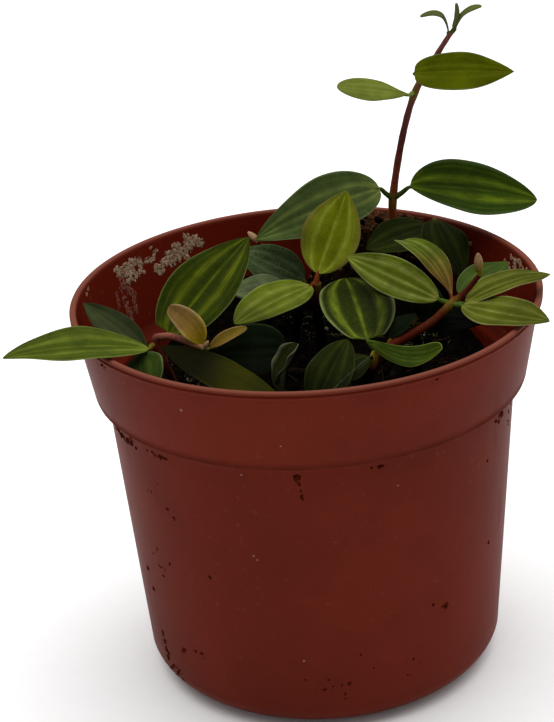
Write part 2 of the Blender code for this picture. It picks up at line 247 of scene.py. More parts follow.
def group(name, inputs, *outputs):
    """A shader group with named sockets: its nodes, its inputs and what gives its outputs."""
    tree = bpy.data.node_groups.new(name, "ShaderNodeTree")
    for label, default in inputs.items():
        kind = "NodeSocketFloat" if isinstance(default, float) else "NodeSocketColor"
        socket = tree.interface.new_socket(label, in_out="INPUT", socket_type=kind)
        socket.default_value = default
    for label in outputs:
        kind = "NodeSocketColor" if label == "Colour" else "NodeSocketFloat"
        tree.interface.new_socket(label, in_out="OUTPUT", socket_type=kind)
    nodes = Nodes(tree)
    given = tree.nodes.new("NodeGroupInput").outputs
    result = tree.nodes.new("NodeGroupOutput").inputs

    def give(**values):
        for label, value in values.items():
            nodes.feed(result[label], value)
        return tree

    return nodes, given, give


def finish(name, roughness, specular):
    """A new material, its nodes and its shader's inputs, with their plain values set."""
    made = bpy.data.materials.new(name)
    made.use_nodes = True
    shader = made.node_tree.nodes["Principled BSDF"].inputs
    shader["Roughness"].default_value = roughness
    shader["Specular IOR Level"].default_value = specular
    return made, Nodes(made.node_tree), shader


def bumped(nodes, shader, height, strength, distance):
    feeds = {"Strength": strength, "Distance": distance, "Height": height}
    nodes.feed(shader["Normal"], nodes.add("Bump", feeds).outputs["Normal"])


# What a look sets besides its colours, the usual values, and those of every underside
MARKINGS = ("Stripe Strength", "Midrib Strength", "Margin Strength", "Stripe Width", "Margin Width",
            "Stripe Place", "Midrib Width", "Ladder Strength", "Shade")
USUAL = (0.8, 0.7, 0.6, 0.1, 0.09, 0.42, 0.05, 0.08, 0.3)
UNDERSIDE = (0.25, 0.6, 0.6, 0.1, 0.09, 0.42, 0.05, 0.12)


def leaf_markings():
    """Pale lines along the veins, a ladder of faint cross veins, a pale margin and mottling."""
    inputs = dict.fromkeys(("Ground", "Stripe", "Margin"), (*WHITE, 1.0))
    inputs.update(zip(MARKINGS, USUAL))
    nodes, given, give = group("leaf markings", inputs, "Colour", "Relief", "Roughness")
    place = nodes.add("UVMap", uv_map="leaf").outputs[0]
    over, along, _ = nodes.add("SeparateXYZ", {0: place}).outputs
    body = nodes.body()
    signed = nodes.scaled(over, 2.0, -1.0)
    wander = nodes.scaled(nodes.noise(place, (2.0, 7.0, 1.0)), 0.06, -0.03)
    across = nodes.math("ADD", nodes.math("ABSOLUTE", signed), wander)
    strength = given["Stripe Strength"]
    midrib = nodes.times(nodes.band(signed, 0.0, given["Midrib Width"]), given["Midrib Strength"])
    side = nodes.times(nodes.band(across, given["Stripe Place"], given["Stripe Width"]), strength)
    outer = nodes.times(nodes.band(across, 0.74, 0.045), nodes.times(strength, 0.3))
    base = nodes.rise(along, 0.14, 0.0, 0.0, 0.55)
    lines = nodes.math("ADD", nodes.math("ADD", midrib, side), nodes.math("ADD", outer, base))
    streaks = nodes.noise(place, (34.0, 5.0, 1.0), 3.0)
    patches = nodes.noise(place, (4.0, 5.0, 1.0))
    broken = nodes.times(nodes.rise(streaks, 0.25, 0.7, 0.4, 1.05),
                         nodes.rise(patches, 0.3, 0.65, 0.6, 1.1))
    uneven = nodes.times(lines, broken, clamp=True)
    feeds = {"Vector": nodes.stretched(place, (9.0, 26.0, 1.0)), "Scale": 1.0}
    cells = nodes.add("TexVoronoi", feeds, feature="DISTANCE_TO_EDGE").outputs["Distance"]
    ladder = nodes.times(nodes.rise(cells, 0.09, 0.0), given["Ladder Strength"])
    inner = nodes.math("SUBTRACT", 1.0, given["Margin Width"])
    margin = nodes.times(nodes.rise(across, inner, 0.995), given["Margin Strength"])
    marked = nodes.math("MAXIMUM", uneven, ladder)
    colour = nodes.mix(marked, given["Ground"], given["Stripe"])
    colour = nodes.mix(margin, colour, given["Margin"])
    mottle = nodes.noise(body, 260.0, 4.0, 0.65)
    tone = nodes.math("ADD", nodes.rise(mottle, 0.3, 0.7, -0.5, 0.5),
                      nodes.rise(nodes.noise(body, 70.0), 0.3, 0.7, -0.6, 0.6))
    light = nodes.scaled(tone, given["Shade"], 1.0)
    colour = nodes.mix(1.0, colour, light, "MULTIPLY")
    relief = nodes.scaled(nodes.noise(body, 1500.0), 0.35, nodes.times(cells, 0.4))
    return give(Colour=nodes.shaded(colour),
                Relief=nodes.math("SUBTRACT", relief, nodes.times(uneven, 0.35)),
                Roughness=nodes.rise(mottle, 0.25, 0.75, 0.42, 0.58))


def moulded_skin():
    """A moulding's grain, scuffs and dust, painted shade in the seam under the collar, and a
    paler crown on its lip.
    """
    nodes, given, give = group("moulded skin", {"Film": 0.15}, "Tone", "Dust", "Crown", "Seam",
                               "Roughness", "Grain")
    body = nodes.body()
    height = nodes.add("SeparateXYZ", {0: body}).outputs[2]
    dust = nodes.rise(nodes.noise(body, 480.0, 3.0, 0.7), 0.6, 0.78)
    crown = nodes.rise(height, (POT_HEIGHT - CROWN_DEPTH) * MM, POT_HEIGHT * MM)
    patchy = nodes.rise(nodes.noise(body, 90.0, 3.0), 0.25, 0.6, 0.5, 1.0)
    seam = nodes.times(nodes.band(height, SEAM * MM, SEAM_WIDTH * MM), patchy)
    scuffs = nodes.rise(nodes.noise(body, (170.0, 170.0, 30.6), 5.0, 0.7), 0.52, 0.74)
    return give(Tone=nodes.rise(nodes.noise(body, 22.0, 4.0, 0.6), 0.3, 0.7),
                Dust=nodes.times(dust, given["Film"]),
                Crown=nodes.times(crown, 0.35),
                Seam=nodes.times(seam, 0.5),
                Roughness=nodes.scaled(seam, 0.5, nodes.scaled(scuffs, 0.12, 0.44), clamp=True),
                Grain=nodes.noise(body, 2600.0))


def crumbled():
    """Rough, broken colour between a dark and a light, for peat, dried soil and lime."""
    inputs = {"Dark": (*WHITE, 1.0), "Light": (*WHITE, 1.0), "Size": 900.0}
    nodes, given, give = group("crumbled", inputs, "Colour", "Relief")
    coarse = nodes.noise(nodes.body(), given["Size"], 5.0, 0.7)
    colour = nodes.mix(nodes.rise(coarse, 0.35, 0.68), given["Dark"], given["Light"])
    return give(Colour=nodes.shaded(colour), Relief=coarse)


def leaf_finish(name, markings, ground, stripe, margin, values):
    made, nodes, shader = finish(name, roughness=0.5, specular=0.014)
    feeds = {"Ground": rgba(ground), "Stripe": rgba(stripe), "Margin": rgba(margin)}
    marks = nodes.place(markings, {**feeds, **dict(zip(MARKINGS, values))})
    nodes.feed(shader["Base Color"], marks["Colour"])
    nodes.feed(shader["Roughness"], marks["Roughness"])
    bumped(nodes, shader, marks["Relief"], 0.35, 0.0004)
    return made


def stem_finish():
    """Fine lengthwise fibres and small darker specks over a stem's own shades."""
    made, nodes, shader = finish("stem skin", roughness=0.5, specular=0.022)
    body = nodes.body()
    fibres = nodes.noise(body, (1400.0, 1400.0, 350.0), 3.0)
    specks = nodes.rise(nodes.noise(body, 900.0, 1.0), 0.62, 0.72)
    tone = nodes.math("SUBTRACT", nodes.rise(fibres, 0.3, 0.7, -0.5, 0.5), specks)
    nodes.feed(shader["Base Color"], nodes.shaded(nodes.scaled(tone, 0.3, 1.0)))
    bumped(nodes, shader, fibres, 0.3, 0.0002)
    return made


def plastic_finish(name, skin, ground, dust, film):
    """Satin red-brown plastic. Film is how much dust lies on it; the seam gets painted shade."""
    made, nodes, shader = finish(name, roughness=0.46, specular=0.022)
    marks = nodes.place(skin, {"Film": film})
    colour = nodes.mix(marks["Tone"], rgba([value * 0.9 for value in ground]), rgba(ground))
    # The seam's dark colour is painted shade under the collar
    for mark, over in (("Dust", dust), ("Crown", dust), ("Seam", (44, 16, 11))):
        colour = nodes.mix(marks[mark], colour, rgba(over))
    nodes.feed(shader["Base Color"], colour)
    nodes.feed(shader["Roughness"], marks["Roughness"])
    bumped(nodes, shader, marks["Grain"], 0.12, 0.0002)
    return made


# Crumbled finishes: dark colour, light colour, and how fine
CRUMBLED = {
    "dried soil": ((44, 9, 2), (80, 26, 8), 1800.0),
    "pale speck": ((124, 84, 70), (150, 118, 100), 1800.0),
    "mineral crust": ((124, 92, 70), (168, 146, 120), 1100.0),
    "pinkish lime": ((98, 44, 34), (134, 88, 72), 1100.0),
    # Peat and peat crumbs: their own dark brown, darkened further as painted shade inside the pot
    "peat": ((2, 1, 1), (13, 9, 6), 800.0),
    "peat crumb": ((4, 3, 2), (20, 14, 9), 1300.0),
    "peat fibre": ((30, 20, 13), (60, 44, 30), 900.0),
    "pale grit": ((96, 94, 88), (150, 146, 136), 1500.0),
    "dry peat crumb": ((52, 25, 12), (94, 60, 38), 1300.0),
    "dull moss": ((44, 46, 26), (98, 100, 68), 1300.0),
}


def crumbled_finishes():
    crumbs = crumbled()
    finishes = {}
    for name, (dark, light, size) in CRUMBLED.items():
        made, nodes, shader = finish(name, roughness=0.95, specular=0.015)
        marks = nodes.place(crumbs, {"Dark": rgba(dark), "Light": rgba(light), "Size": size})
        nodes.feed(shader["Base Color"], marks["Colour"])
        bumped(nodes, shader, marks["Relief"], 0.6, 0.0005)
        finishes[name] = made
    return finishes


# Mesh building

def eased(value):
    """A share from 0 to 1 that starts and ends gently."""
    value = min(1.0, max(0.0, value))
    return value * value * (3 - 2 * value)


def bell(value, width):
    return math.exp(-(value / width) ** 2)


def mixed(low, high, share):
    return tuple(a + (b - a) * share for a, b in zip(low, high))


def around(radius, angle):
    """The two level measures of a point round the pot's axis."""
    return radius * math.cos(angle), radius * math.sin(angle)


def square_to(direction, along):
    """The direction turned until it is square to another one."""
    return (direction - direction.dot(along) * along).normalized()


def linked(name, data):
    made = bpy.data.objects.new(name, data)
    bpy.context.scene.collection.objects.link(made)
    return made


def ball():
    """Points and faces of a round ball of triangles."""
    made = bmesh.new()
    bmesh.ops.create_icosphere(made, subdivisions=2, radius=1.0)
    points = [vertex.co.copy() for vertex in made.verts]
    faces = [tuple(vertex.index for vertex in face.verts) for face in made.faces]
    made.free()
    return points, faces


BALL_POINTS, BALL_FACES = ball()


class Body:
    """What one piece is put together from."""

    def __init__(self):
        self.points = []
        self.faces = []
        self.finishes = []
        self.shades = []
        self.places = []

    def add(self, shape, shades=WHITE, places=None, finishes=None):
        """Takes in points and faces, with one shade for all or a list of one for each point."""
        points, faces = shape
        start = len(self.points)
        self.points += points
        self.faces += [tuple(index + start for index in face) for face in faces]
        self.finishes += finishes or [0] * len(faces)
        self.shades += shades if isinstance(shades, list) else [shades] * len(points)
        self.places += places or [(0.0, 0.0)] * len(points)

    def piece(self, name, finishes, slot, *nodes):
        """The finished object, riding on the model and standing for the nodes."""
        mesh = bpy.data.meshes.new(name)
        mesh.from_pydata([Vector(point) * MM for point in self.points], [], self.faces)
        for made in finishes:
            mesh.materials.append(made)
        mesh.polygons.foreach_set("material_index", self.finishes)
        shade = mesh.attributes.new("shade", "FLOAT_COLOR", "POINT")
        shade.data.foreach_set("color", [c for s in self.shades for c in (*s, 1.0)])
        leaf_map = mesh.uv_layers.new(name="leaf")
        corners = [self.places[loop.vertex_index] for loop in mesh.loops]
        leaf_map.data.foreach_set("uv", [value for corner in corners for value in corner])
        mesh.update()
        mesh.shade_smooth()
        made = linked(name, mesh)
        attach(made, "root")
        if nodes:
            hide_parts(*nodes)
        return made


def smooth_route(points, steps):
    """Points along a smooth curve through the given points."""
    points = [Vector(point) for point in points]
    route = []
    for i in range(len(points) - 1):
        before = points[max(i - 1, 0)]
        here = points[i]
        there = points[i + 1]
        after = points[min(i + 2, len(points) - 1)]
        for step in range(steps):
            t = step / steps
            even = 2 * here + (2 * before - 5 * here + 4 * there - after) * t * t
            odd = (there - before) * t + (3 * here - before - 3 * there + after) * t**3
            route.append((even + odd) / 2)
    return route + [points[-1]]


def skin(rings, sides, first=0, inward=False):
    """Faces that join rings of points, which follow each other from the first point on."""
    faces = []
    for ring in range(rings - 1):
        start = first + ring * sides
        for side in range(sides):
            a = start + side
            b = start + (side + 1) % sides
            faces.append((a, a + sides, b + sides, b) if inward else (a, b, b + sides, a + sides))
    return faces


def tube(route, radii, sides):
    """Points and faces of a tube along a route, closed at its ends."""
    points = []
    across = None
    for i, (centre, radius) in enumerate(zip(route, radii)):
        along = (route[min(i + 1, len(route) - 1)] - route[max(i - 1, 0)]).normalized()
        if across is None:
            across = along.orthogonal()
        across = square_to(across, along)
        other = along.cross(across)
        for side in range(sides):
            angle = 2 * math.pi * side / sides
            points.append(centre + radius * (math.cos(angle) * across + math.sin(angle) * other))
    last = (len(route) - 1) * sides
    caps = [tuple(reversed(range(sides))), tuple(range(last, last + sides))]
    return points, skin(len(route), sides) + caps


def cane(points, steps, sides, foot, tip, power=1.0):
    """A tube on a smooth curve, whose radius goes from foot to tip."""
    route = smooth_route(points, steps)
    last = len(route) - 1
    return tube(route, [foot + (tip - foot) * (i / last) ** power for i in range(last + 1)], sides)


def lump(centre, across, along, out, roughness=0.9):
    """A rough lump stretched to three half axes."""
    shift = Vector([draw.uniform(0, 90) for _ in range(3)])
    points = []
    for spot in BALL_POINTS:
        swell = 1 + roughness * noise.noise(spot * 1.5 + shift)
        points.append(centre + (across * spot.x + along * spot.y + out * spot.z) * swell)
    return points, BALL_FACES


def tumbled(*halves):
    """Three square half axes of these lengths, in a random direction."""
    turn = Matrix.Rotation(draw.uniform(0, 6.28), 3, Vector([draw.gauss(0, 1) for _ in "xyz"]))
    return [axis * half for axis, half in zip(turn.col, halves)]


# Pot

def between(points, height):
    """The radius at a height, on a list of (radius, height) that goes up."""
    for (r0, z0), (r1, z1) in zip(points, points[1:]):
        if height <= z1:
            return r0 + (r1 - r0) * max(0.0, height - z0) / (z1 - z0)
    return points[-1][0]


def outer_profile():
    """The pot's outside, from the middle of its base to the crown of its lip."""
    heel = []
    for step in range(HEEL_STEPS + 1):
        angle = math.radians(HEEL_TURN * step / HEEL_STEPS)
        heel.append((HEEL_FOOT_RADIUS + HEEL_REACH * math.sin(angle),
                     HEEL_RISE * (1 - math.cos(angle))))
    side = [mixed(heel[-1], OUTSIDE[0], step / SIDE_STEPS) for step in range(1, SIDE_STEPS)]
    return [(0.0, 0.0), *heel, *side, *OUTSIDE]


def wall_radius(height, inside):
    return between(INSIDE[::-1] if inside else outer_profile()[1:-1], height)


def on_wall(azimuth, height, inside):
    """A point on the wall, and directions along the rim, up the wall and off it."""
    angle = math.radians(azimuth)
    point, over = [Vector((*around(wall_radius(z, inside), angle), z))
                   for z in (height, height + 1.0)]
    up = (over - point).normalized()
    across = Vector((-math.sin(angle), math.cos(angle), 0.0))
    off = across.cross(up)
    return point, across, up, -off if inside else off


def pot(outside_finish, inside_finish):
    outer = outer_profile()
    rings = [*outer[1:], *INSIDE]
    count = len(rings)
    points = [Vector((0.0, 0.0, 0.0)), Vector((0.0, 0.0, POT_FLOOR))]
    faces = []
    finishes = []
    for side in range(POT_SIDES):
        angle = 2 * math.pi * side / POT_SIDES
        points += [Vector((*around(r, angle), z)) for r, z in rings]
        here = 2 + side * count
        there = 2 + (side + 1) % POT_SIDES * count
        faces += [(0, there, here), (1, here + count - 1, there + count - 1)]
        finishes += [0, 1]
        for i in range(count - 1):
            faces.append((here + i, there + i, there + i + 1, here + i + 1))
            finishes.append(int(i > len(outer) + 1))
    body = Body()
    body.add((points, faces), finishes=finishes)
    shell = body.piece("moulded_pot", [outside_finish, inside_finish], "terracotta_plastic", "pot")
    drains = Body()
    for hole in range(DRAIN_HOLES):
        x, y = around(DRAIN_CIRCLE, 2 * math.pi * (hole + 0.5) / DRAIN_HOLES)
        ends = [Vector((x, y, -DRILL_PAST)), Vector((x, y, POT_FLOOR + DRILL_PAST))]
        drains.add(tube(ends, [DRAIN_HOLE_RADIUS] * 2, DRILL_SIDES))
    cut_by(shell, drains)


def cut_by(shell, shape):
    """Takes the shape away from the shell for good."""
    mesh = bpy.data.meshes.new("drill")
    mesh.from_pydata([point * MM for point in shape.points], [], shape.faces)
    drill = linked("drill", mesh)
    cut = shell.modifiers.new("Drill", "BOOLEAN")
    cut.operation = "DIFFERENCE"
    cut.object = drill
    bpy.context.view_layer.update()
    graph = bpy.context.evaluated_depsgraph_get()
    drilled = bpy.data.meshes.new_from_object(shell.evaluated_get(graph))
    shell.modifiers.clear()
    shell.data = drilled
    bpy.data.objects.remove(drill)
    drilled.set_sharp_from_angle(angle=math.radians(SHARP_EDGE))


# Dried soil on the outside: azimuth in degrees, height, half width, half height
SOIL_SPOTS = [
    (-163, 74.1, 0.7, 0.4), (-160.5, 74.6, 0.5, 0.35), (-158, 74.0, 0.8, 0.45),
    (-155.5, 74.7, 0.5, 0.4), (-153, 74.2, 0.9, 0.4), (-150.5, 74.8, 0.5, 0.3),
    (-148, 74.5, 0.6, 0.4), (-135, 76.1, 1.1, 0.4), (-95, 76.4, 0.9, 0.8), (-94.6, 74.6, 0.4, 0.5),
    (-94.3, 72.6, 0.35, 0.5), (-94, 70.4, 0.4, 0.4), (-73, 77, 0.9, 0.4), (-60, 99.5, 0.6, 0.3),
    (-26, 75.6, 0.8, 0.8), (-28, 74.2, 0.5, 0.6), (-30, 75.2, 0.7, 0.5), (-34, 65.7, 0.4, 0.4),
    (-30, 40.1, 0.5, 0.5), (-51, 30.1, 0.9, 0.9), (-56, 32.2, 0.5, 0.5),
    (-153, 17, 0.5, 0.9), (-152.7, 14.6, 0.5, 0.9), (-152.4, 12.2, 0.5, 0.9),
    (-152, 9.8, 0.6, 0.8), (-140, 17, 0.5, 0.6), (-132, 18.8, 0.5, 0.4), (-124, 44.3, 0.5, 0.5),
    (-154, 30.3, 0.6, 0.6), (-156, 35.8, 0.5, 0.7), (-150, 7.6, 0.5, 0.5), (-80, 23.1, 0.3, 0.3),
    (-76, 18.3, 0.3, 0.3), (-97, 16.6, 0.3, 0.3), (-90, 16.4, 0.35, 0.3),
]
PALE_SPOTS = [
    (-122, 94.7, 0.4, 0.4), (-98, 87.2, 0.25, 0.25), (-110, 76.6, 0.3, 0.3),
    (-68, 70.6, 0.25, 0.25), (-109, 53.3, 0.3, 0.25), (-108, 52.3, 0.25, 0.25),
    (-97, 22.5, 0.3, 0.3),
]
# Drifts of small soil specks: azimuth, height, spread in degrees and in height, count
SOIL_DRIFTS = [
    (-157, 74.7, 4.5, 0.8, 30), (-151, 75.4, 2.5, 0.9, 14), (-137, 76.0, 3.5, 0.8, 16),
    (-146, 41, 4, 5, 10), (-152, 13, 0.9, 3.5, 12), (-141, 16.4, 0.8, 1.2, 6),
    (-147, 8, 5, 2.2, 22), (-133, 18, 3, 2, 5), (-95, 76.0, 0.9, 0.9, 8),
    (-94, 71.5, 0.6, 1.3, 5), (-73, 77, 1.5, 0.5, 5), (-27, 75.4, 2.5, 1.4, 9),
    (-18, 71, 1.5, 4, 7), (-52, 30.3, 0.6, 0.5, 4), (-90, 14, 11, 5, 10), (-64, 15, 7, 6, 9),
    (-149, 98.6, 4, 0.8, 9), (-140, 60, 12, 12, 8), (64, 75.6, 9, 0.9, 16),
    (108, 18, 9, 8, 10), (150, 75.4, 5, 1, 10), (22, 12, 6, 4, 10), (175, 10, 6, 3, 8),
]
# Mineral crust on the inside: azimuth, height, half size
CRUST_SPOTS = [
    (149.6, 99.2, 0.9), (148.4, 98.2, 1.1), (146.4, 98.0, 1.1), (144.4, 98.2, 1.0),
    (142.1, 98.8, 0.9), (140.4, 98.5, 0.8), (139.6, 97.0, 0.8), (140.3, 95.5, 0.9),
    (142.7, 95.2, 1.2), (145.4, 95.9, 1.3), (146.2, 96.7, 1.2), (143.5, 96.9, 0.8),
    (137.8, 97.3, 0.6), (136.5, 97.1, 0.7), (134.6, 98.2, 0.5), (133.8, 98.9, 0.5),
    (135.2, 97.2, 0.5), (168.1, 100.0, 0.5), (166.0, 100.6, 0.45), (135.2, 100.3, 0.35),
    (134.7, 94.4, 1.0), (133.3, 93.7, 1.2), (131.8, 94.5, 1.1), (130.5, 95.0, 1.2),
    (129.4, 95.9, 1.1), (128.0, 96.7, 1.3), (126.6, 97.8, 1.2), (125.7, 96.5, 1.2),
    (124.8, 95.6, 1.1), (123.4, 96.9, 1.1), (122.0, 98.0, 1.2), (123.3, 100.0, 0.7),
    (122.6, 99.2, 0.8), (120.9, 98.2, 1.1), (120.0, 97.0, 1.1), (119.2, 97.3, 0.9),
    (126.5, 95.6, 1.0), (129.1, 94.6, 1.0), (42.3, 95.6, 0.7), (40.4, 94.8, 0.5),
    (41.6, 96.9, 0.6), (39.9, 98.9, 0.4), (38.5, 97.9, 0.5), (15.6, 100.6, 0.7),
    (14.0, 100.2, 0.9), (17.8, 99.6, 0.8), (9.3, 100.4, 0.5), (42.9, 99.4, 0.5),
    (19.7, 99.8, 0.6), (17.3, 98.4, 0.8), (20.9, 97.0, 0.7), (22.8, 97.3, 0.6),
    (12.0, 99.6, 0.7), (45.2, 96.0, 0.7), (43.4, 93.4, 0.6), (46.5, 97.8, 0.5),
    (69.0, 101.2, 0.8), (71.0, 100.9, 0.6),
]
CRUST_PARTS = 26
CRUST_RISE = 0.045
CRUST_TOP = 100.9
STREAK_RISE = 0.035
STREAK_PARTS = 3
# Lime that ran down the inside: points by azimuth and height, and half width
CRUST_STREAKS = [
    ([(149.5, 96.5), (147.7, 94.1), (145.9, 91.5), (145.6, 88.4), (146.1, 86.1)], 0.42),
    ([(152.3, 93.4), (152.7, 91.6), (152.6, 89.8)], 0.3),
    ([(149.5, 90.9), (149.0, 87.2), (148.4, 85.0)], 0.5),
    ([(146.6, 97.4), (148.6, 95.6), (149.8, 93.6)], 0.3),
]


def wall_marks(body, spots, inside, thickness):
    """Thin rough patches that sit on the wall."""
    for azimuth, height, wide, tall in spots:
        point, across, up, off = on_wall(azimuth, height, inside)
        thick = min(wide, tall) * thickness
        body.add(lump(point, across * wide, up * tall, off * thick))


def soil_marks(rough):
    """Dried soil and pale specks on the pot's outside."""
    spots = Body()
    wall_marks(spots, SOIL_SPOTS, False, 0.45)
    for azimuth, height, turn, rise, count in SOIL_DRIFTS:
        for _ in range(count):
            size = SPECK_SIZES[0] + SPECK_SIZES[1] * draw.random() ** 2
            speck = (draw.gauss(azimuth, turn / 2), max(3.0, draw.gauss(height, rise / 2)),
                     size, size * draw.uniform(0.6, 1.5))
            wall_marks(spots, [speck], False, 0.5)
    spots.piece("soil_spots", [rough["dried soil"]], "peat")
    pale = Body()
    wall_marks(pale, PALE_SPOTS, False, 0.4)
    pale.piece("pale_spots", [rough["pale speck"]], "peat")


def lime_marks(rough):
    """Mineral crust on the pot's inside, half of it coarse and half fine, and what ran down."""
    crust = Body()
    for azimuth, height, size in CRUST_SPOTS:
        for part in range(CRUST_PARTS):
            wide = size * draw.uniform(0.12, 0.8 if part < CRUST_PARTS / 2 else 0.32)
            turn = azimuth + draw.gauss(0, 0.65) * size
            rise = height + draw.gauss(0, 0.6) * size
            mark = (turn, min(rise, CRUST_TOP), wide, wide * draw.uniform(0.5, 1.2))
            wall_marks(crust, [mark], True, CRUST_RISE / wide)
    crust.piece("mineral_crust", [rough["mineral crust"]], "peat")
    streaks = Body()
    for line, radius in CRUST_STREAKS:
        points = [on_wall(azimuth, height, True)[0] for azimuth, height in line]
        for point in smooth_route(points, 8):
            azimuth = math.degrees(math.atan2(point.y, point.x))
            for _ in range(STREAK_PARTS):
                wide = radius * draw.uniform(0.25, 1.0)
                turn = azimuth + draw.gauss(0, 1.1) * radius
                mark = (turn, point.z + draw.gauss(0, 0.4), wide, wide * 1.9)
                wall_marks(streaks, [mark], True, STREAK_RISE / wide)
    streaks.piece("wall_streaks", [rough["pinkish lime"]], "peat")


# Peat

def peat_height(x, y):
    """The peat's surface: low and lumpy, with a high heap and a mound against the back wall."""
    rises = [(top - SOIL_LEVEL) * min(1.0, RISE_FULLNESS * bell(math.hypot(x - a, y - b), reach))
             for (a, b), reach, top in RISES]
    lumps = [noise.noise(Vector((x, y, layer)) / size) * height for layer, size, height in LUMPS]
    return sum(lumps, SOIL_LEVEL + max(rises))


def edge_of_peat(angle):
    """Where the peat's surface meets the wall, in one direction."""
    height = SOIL_LEVEL
    for _ in range(EDGE_ROUNDS):
        radius = wall_radius(height, True) - GAP
        height = min(peat_height(*around(radius, angle)), POT_HEIGHT - BELOW_LIP)
    return radius, height


def levels_down(height):
    """Heights down the peat's side, with one at each bend of the wall."""
    levels = [height] + [z for z in WALL_BENDS if z < height - 0.4]
    while len(levels) <= PEAT_LEVELS:
        falls = [high - low for high, low in zip(levels, levels[1:])]
        widest = falls.index(max(falls))
        levels.insert(widest + 1, (levels[widest] + levels[widest + 1]) / 2)
    return levels[1:]


def dryness(point):
    """How much lighter and browner the peat is: dry on the heap, dark with painted shade elsewhere."""
    away = math.hypot(point.x - HEAP_CENTRE[0], point.y - HEAP_CENTRE[1])
    dry = bell(away, HEAP_REACH) * eased((point.z - DRY_HEIGHT) / DRY_RISE)
    return tuple(1 + gain * dry for gain in DRY_GAINS)


def peat(finish_used):
    points = [Vector((0.0, 0.0, peat_height(0.0, 0.0)))]
    angles = [2 * math.pi * side / PEAT_SIDES for side in range(PEAT_SIDES)]
    edges = [edge_of_peat(angle) for angle in angles]
    for ring in range(1, PEAT_RINGS + 1):
        for angle, (radius, height) in zip(angles, edges):
            x, y = around(radius * ring / PEAT_RINGS, angle)
            z = height if ring == PEAT_RINGS else peat_height(x, y)
            points.append(Vector((x, y, z)))
    for level in zip(*[levels_down(height) for _, height in edges]):
        points += [Vector((*around(wall_radius(z, True) - GAP, angle), z))
                   for angle, z in zip(angles, level)]
    points.append(Vector((0.0, 0.0, PEAT_FOOT)))
    rings = PEAT_RINGS + PEAT_LEVELS
    last = 1 + (rings - 1) * PEAT_SIDES
    faces = skin(rings, PEAT_SIDES, 1, inward=True)
    for side in range(PEAT_SIDES):
        following = (side + 1) % PEAT_SIDES
        faces += [(0, 1 + side, 1 + following), (last + side, len(points) - 1, last + following)]
    body = Body()
    body.add((points, faces), [dryness(point) for point in points])
    body.piece("peat_filling", [finish_used], "peat", "soil")


def random_spot(margin):
    """A random place on the peat, that far from the wall."""
    angle = draw.uniform(0, 2 * math.pi)
    radius, _ = edge_of_peat(angle)
    x, y = around((radius - margin) * math.sqrt(draw.random()), angle)
    return Vector((x, y, peat_height(x, y)))


# Dry straws: one stands by the left stem, one leans from the right stem to the wall.
# Each has its points, its radius and its shade
STRAWS = [
    ([(-34.6, -28.9, 100.6), (-34.0, -29.3, 97.0), (-32.6, -29.7, 93.0), (-30.5, -29.0, 84.0),
      (-29.5, -29.0, 74.5)], 0.2, (5.5, 5.5, 5.0)),
    ([(15.2, -31.6, 97.8), (10.8, -38.6, 97.7), (6.4, -45.8, 97.2), (0.4, -57.0, 96.4)],
     0.15, (1.1, 2.2, 2.6)),
]
# Pale grit on the peat: x, y, half size
GRIT_SPOTS = [
    (3.9, 32.9, 0.32), (5.1, 28.1, 0.5), (2.7, 29.8, 0.3), (4.4, 30.6, 0.24), (33.3, 25.3, 0.3),
    (35.7, 28.9, 0.28), (31.0, 22.0, 0.3), (-8.0, -20.0, 0.35), (20.0, -6.0, 0.3),
    (-25.0, -8.0, 0.3), (14.0, 8.0, 0.25),
]


def peat_crumbs(finish_used):
    crumbs = Body()
    for _ in range(CRUMBS):
        size = CRUMB_SIZES[0] + CRUMB_SIZES[1] * draw.random() ** 3
        spot = random_spot(size * 1.6) + Vector((0, 0, size * 0.35))
        along, across, up = tumbled(size, size * 0.75, size)
        light = draw.choice((0.55, 0.8, 1.0, 1.0, 1.5, 2.2))
        warmth = draw.uniform(0.85, 1.2)
        crumbs.add(lump(spot, along, across, up * draw.uniform(0.45, 0.8)),
                   (light * warmth, light, light / warmth))
    crumbs.piece("peat_crumbs", [finish_used], "peat")


def peat_fibres(finish_used):
    """Thin bent fibres that lie on the peat, and the dry straws."""
    fibres = Body()
    for _ in range(FIBRES):
        start = random_spot(6.0) + Vector((0, 0, 0.5))
        heading = Vector((draw.gauss(0, 1), draw.gauss(0, 1), draw.uniform(-0.1, 0.35)))
        reach = heading.normalized() * draw.uniform(*FIBRE_LENGTHS)
        bend = Vector((draw.gauss(0, 0.6), draw.gauss(0, 0.6), draw.gauss(0, 0.3)))
        ends = [start, start + reach * 0.5 + bend, start + reach]
        for end in ends[1:]:
            end.z = max(end.z, peat_height(end.x, end.y) + 0.1)
        if max(math.hypot(end.x, end.y) for end in ends) > FIBRES_WITHIN or start.z > FIBRES_BELOW:
            continue
        radius = draw.uniform(*FIBRE_RADII)
        fibres.add(cane(ends, 5, 6, radius, radius), (draw.choice((0.5, 0.8, 1.3)),) * 3)
    for stray, radius, shade in STRAWS:
        fibres.add(cane(stray, 8, 8, radius, radius), shade)
    fibres.piece("peat_fibres", [finish_used], "peat")


def pale_grit(finish_used):
    grit = Body()
    for x, y, size in GRIT_SPOTS:
        centre = Vector((x, y, peat_height(x, y) + size * 0.6))
        grit.add(lump(centre, *tumbled(size, size, size), roughness=0.8))
    grit.piece("pale_grit", [finish_used], "peat")


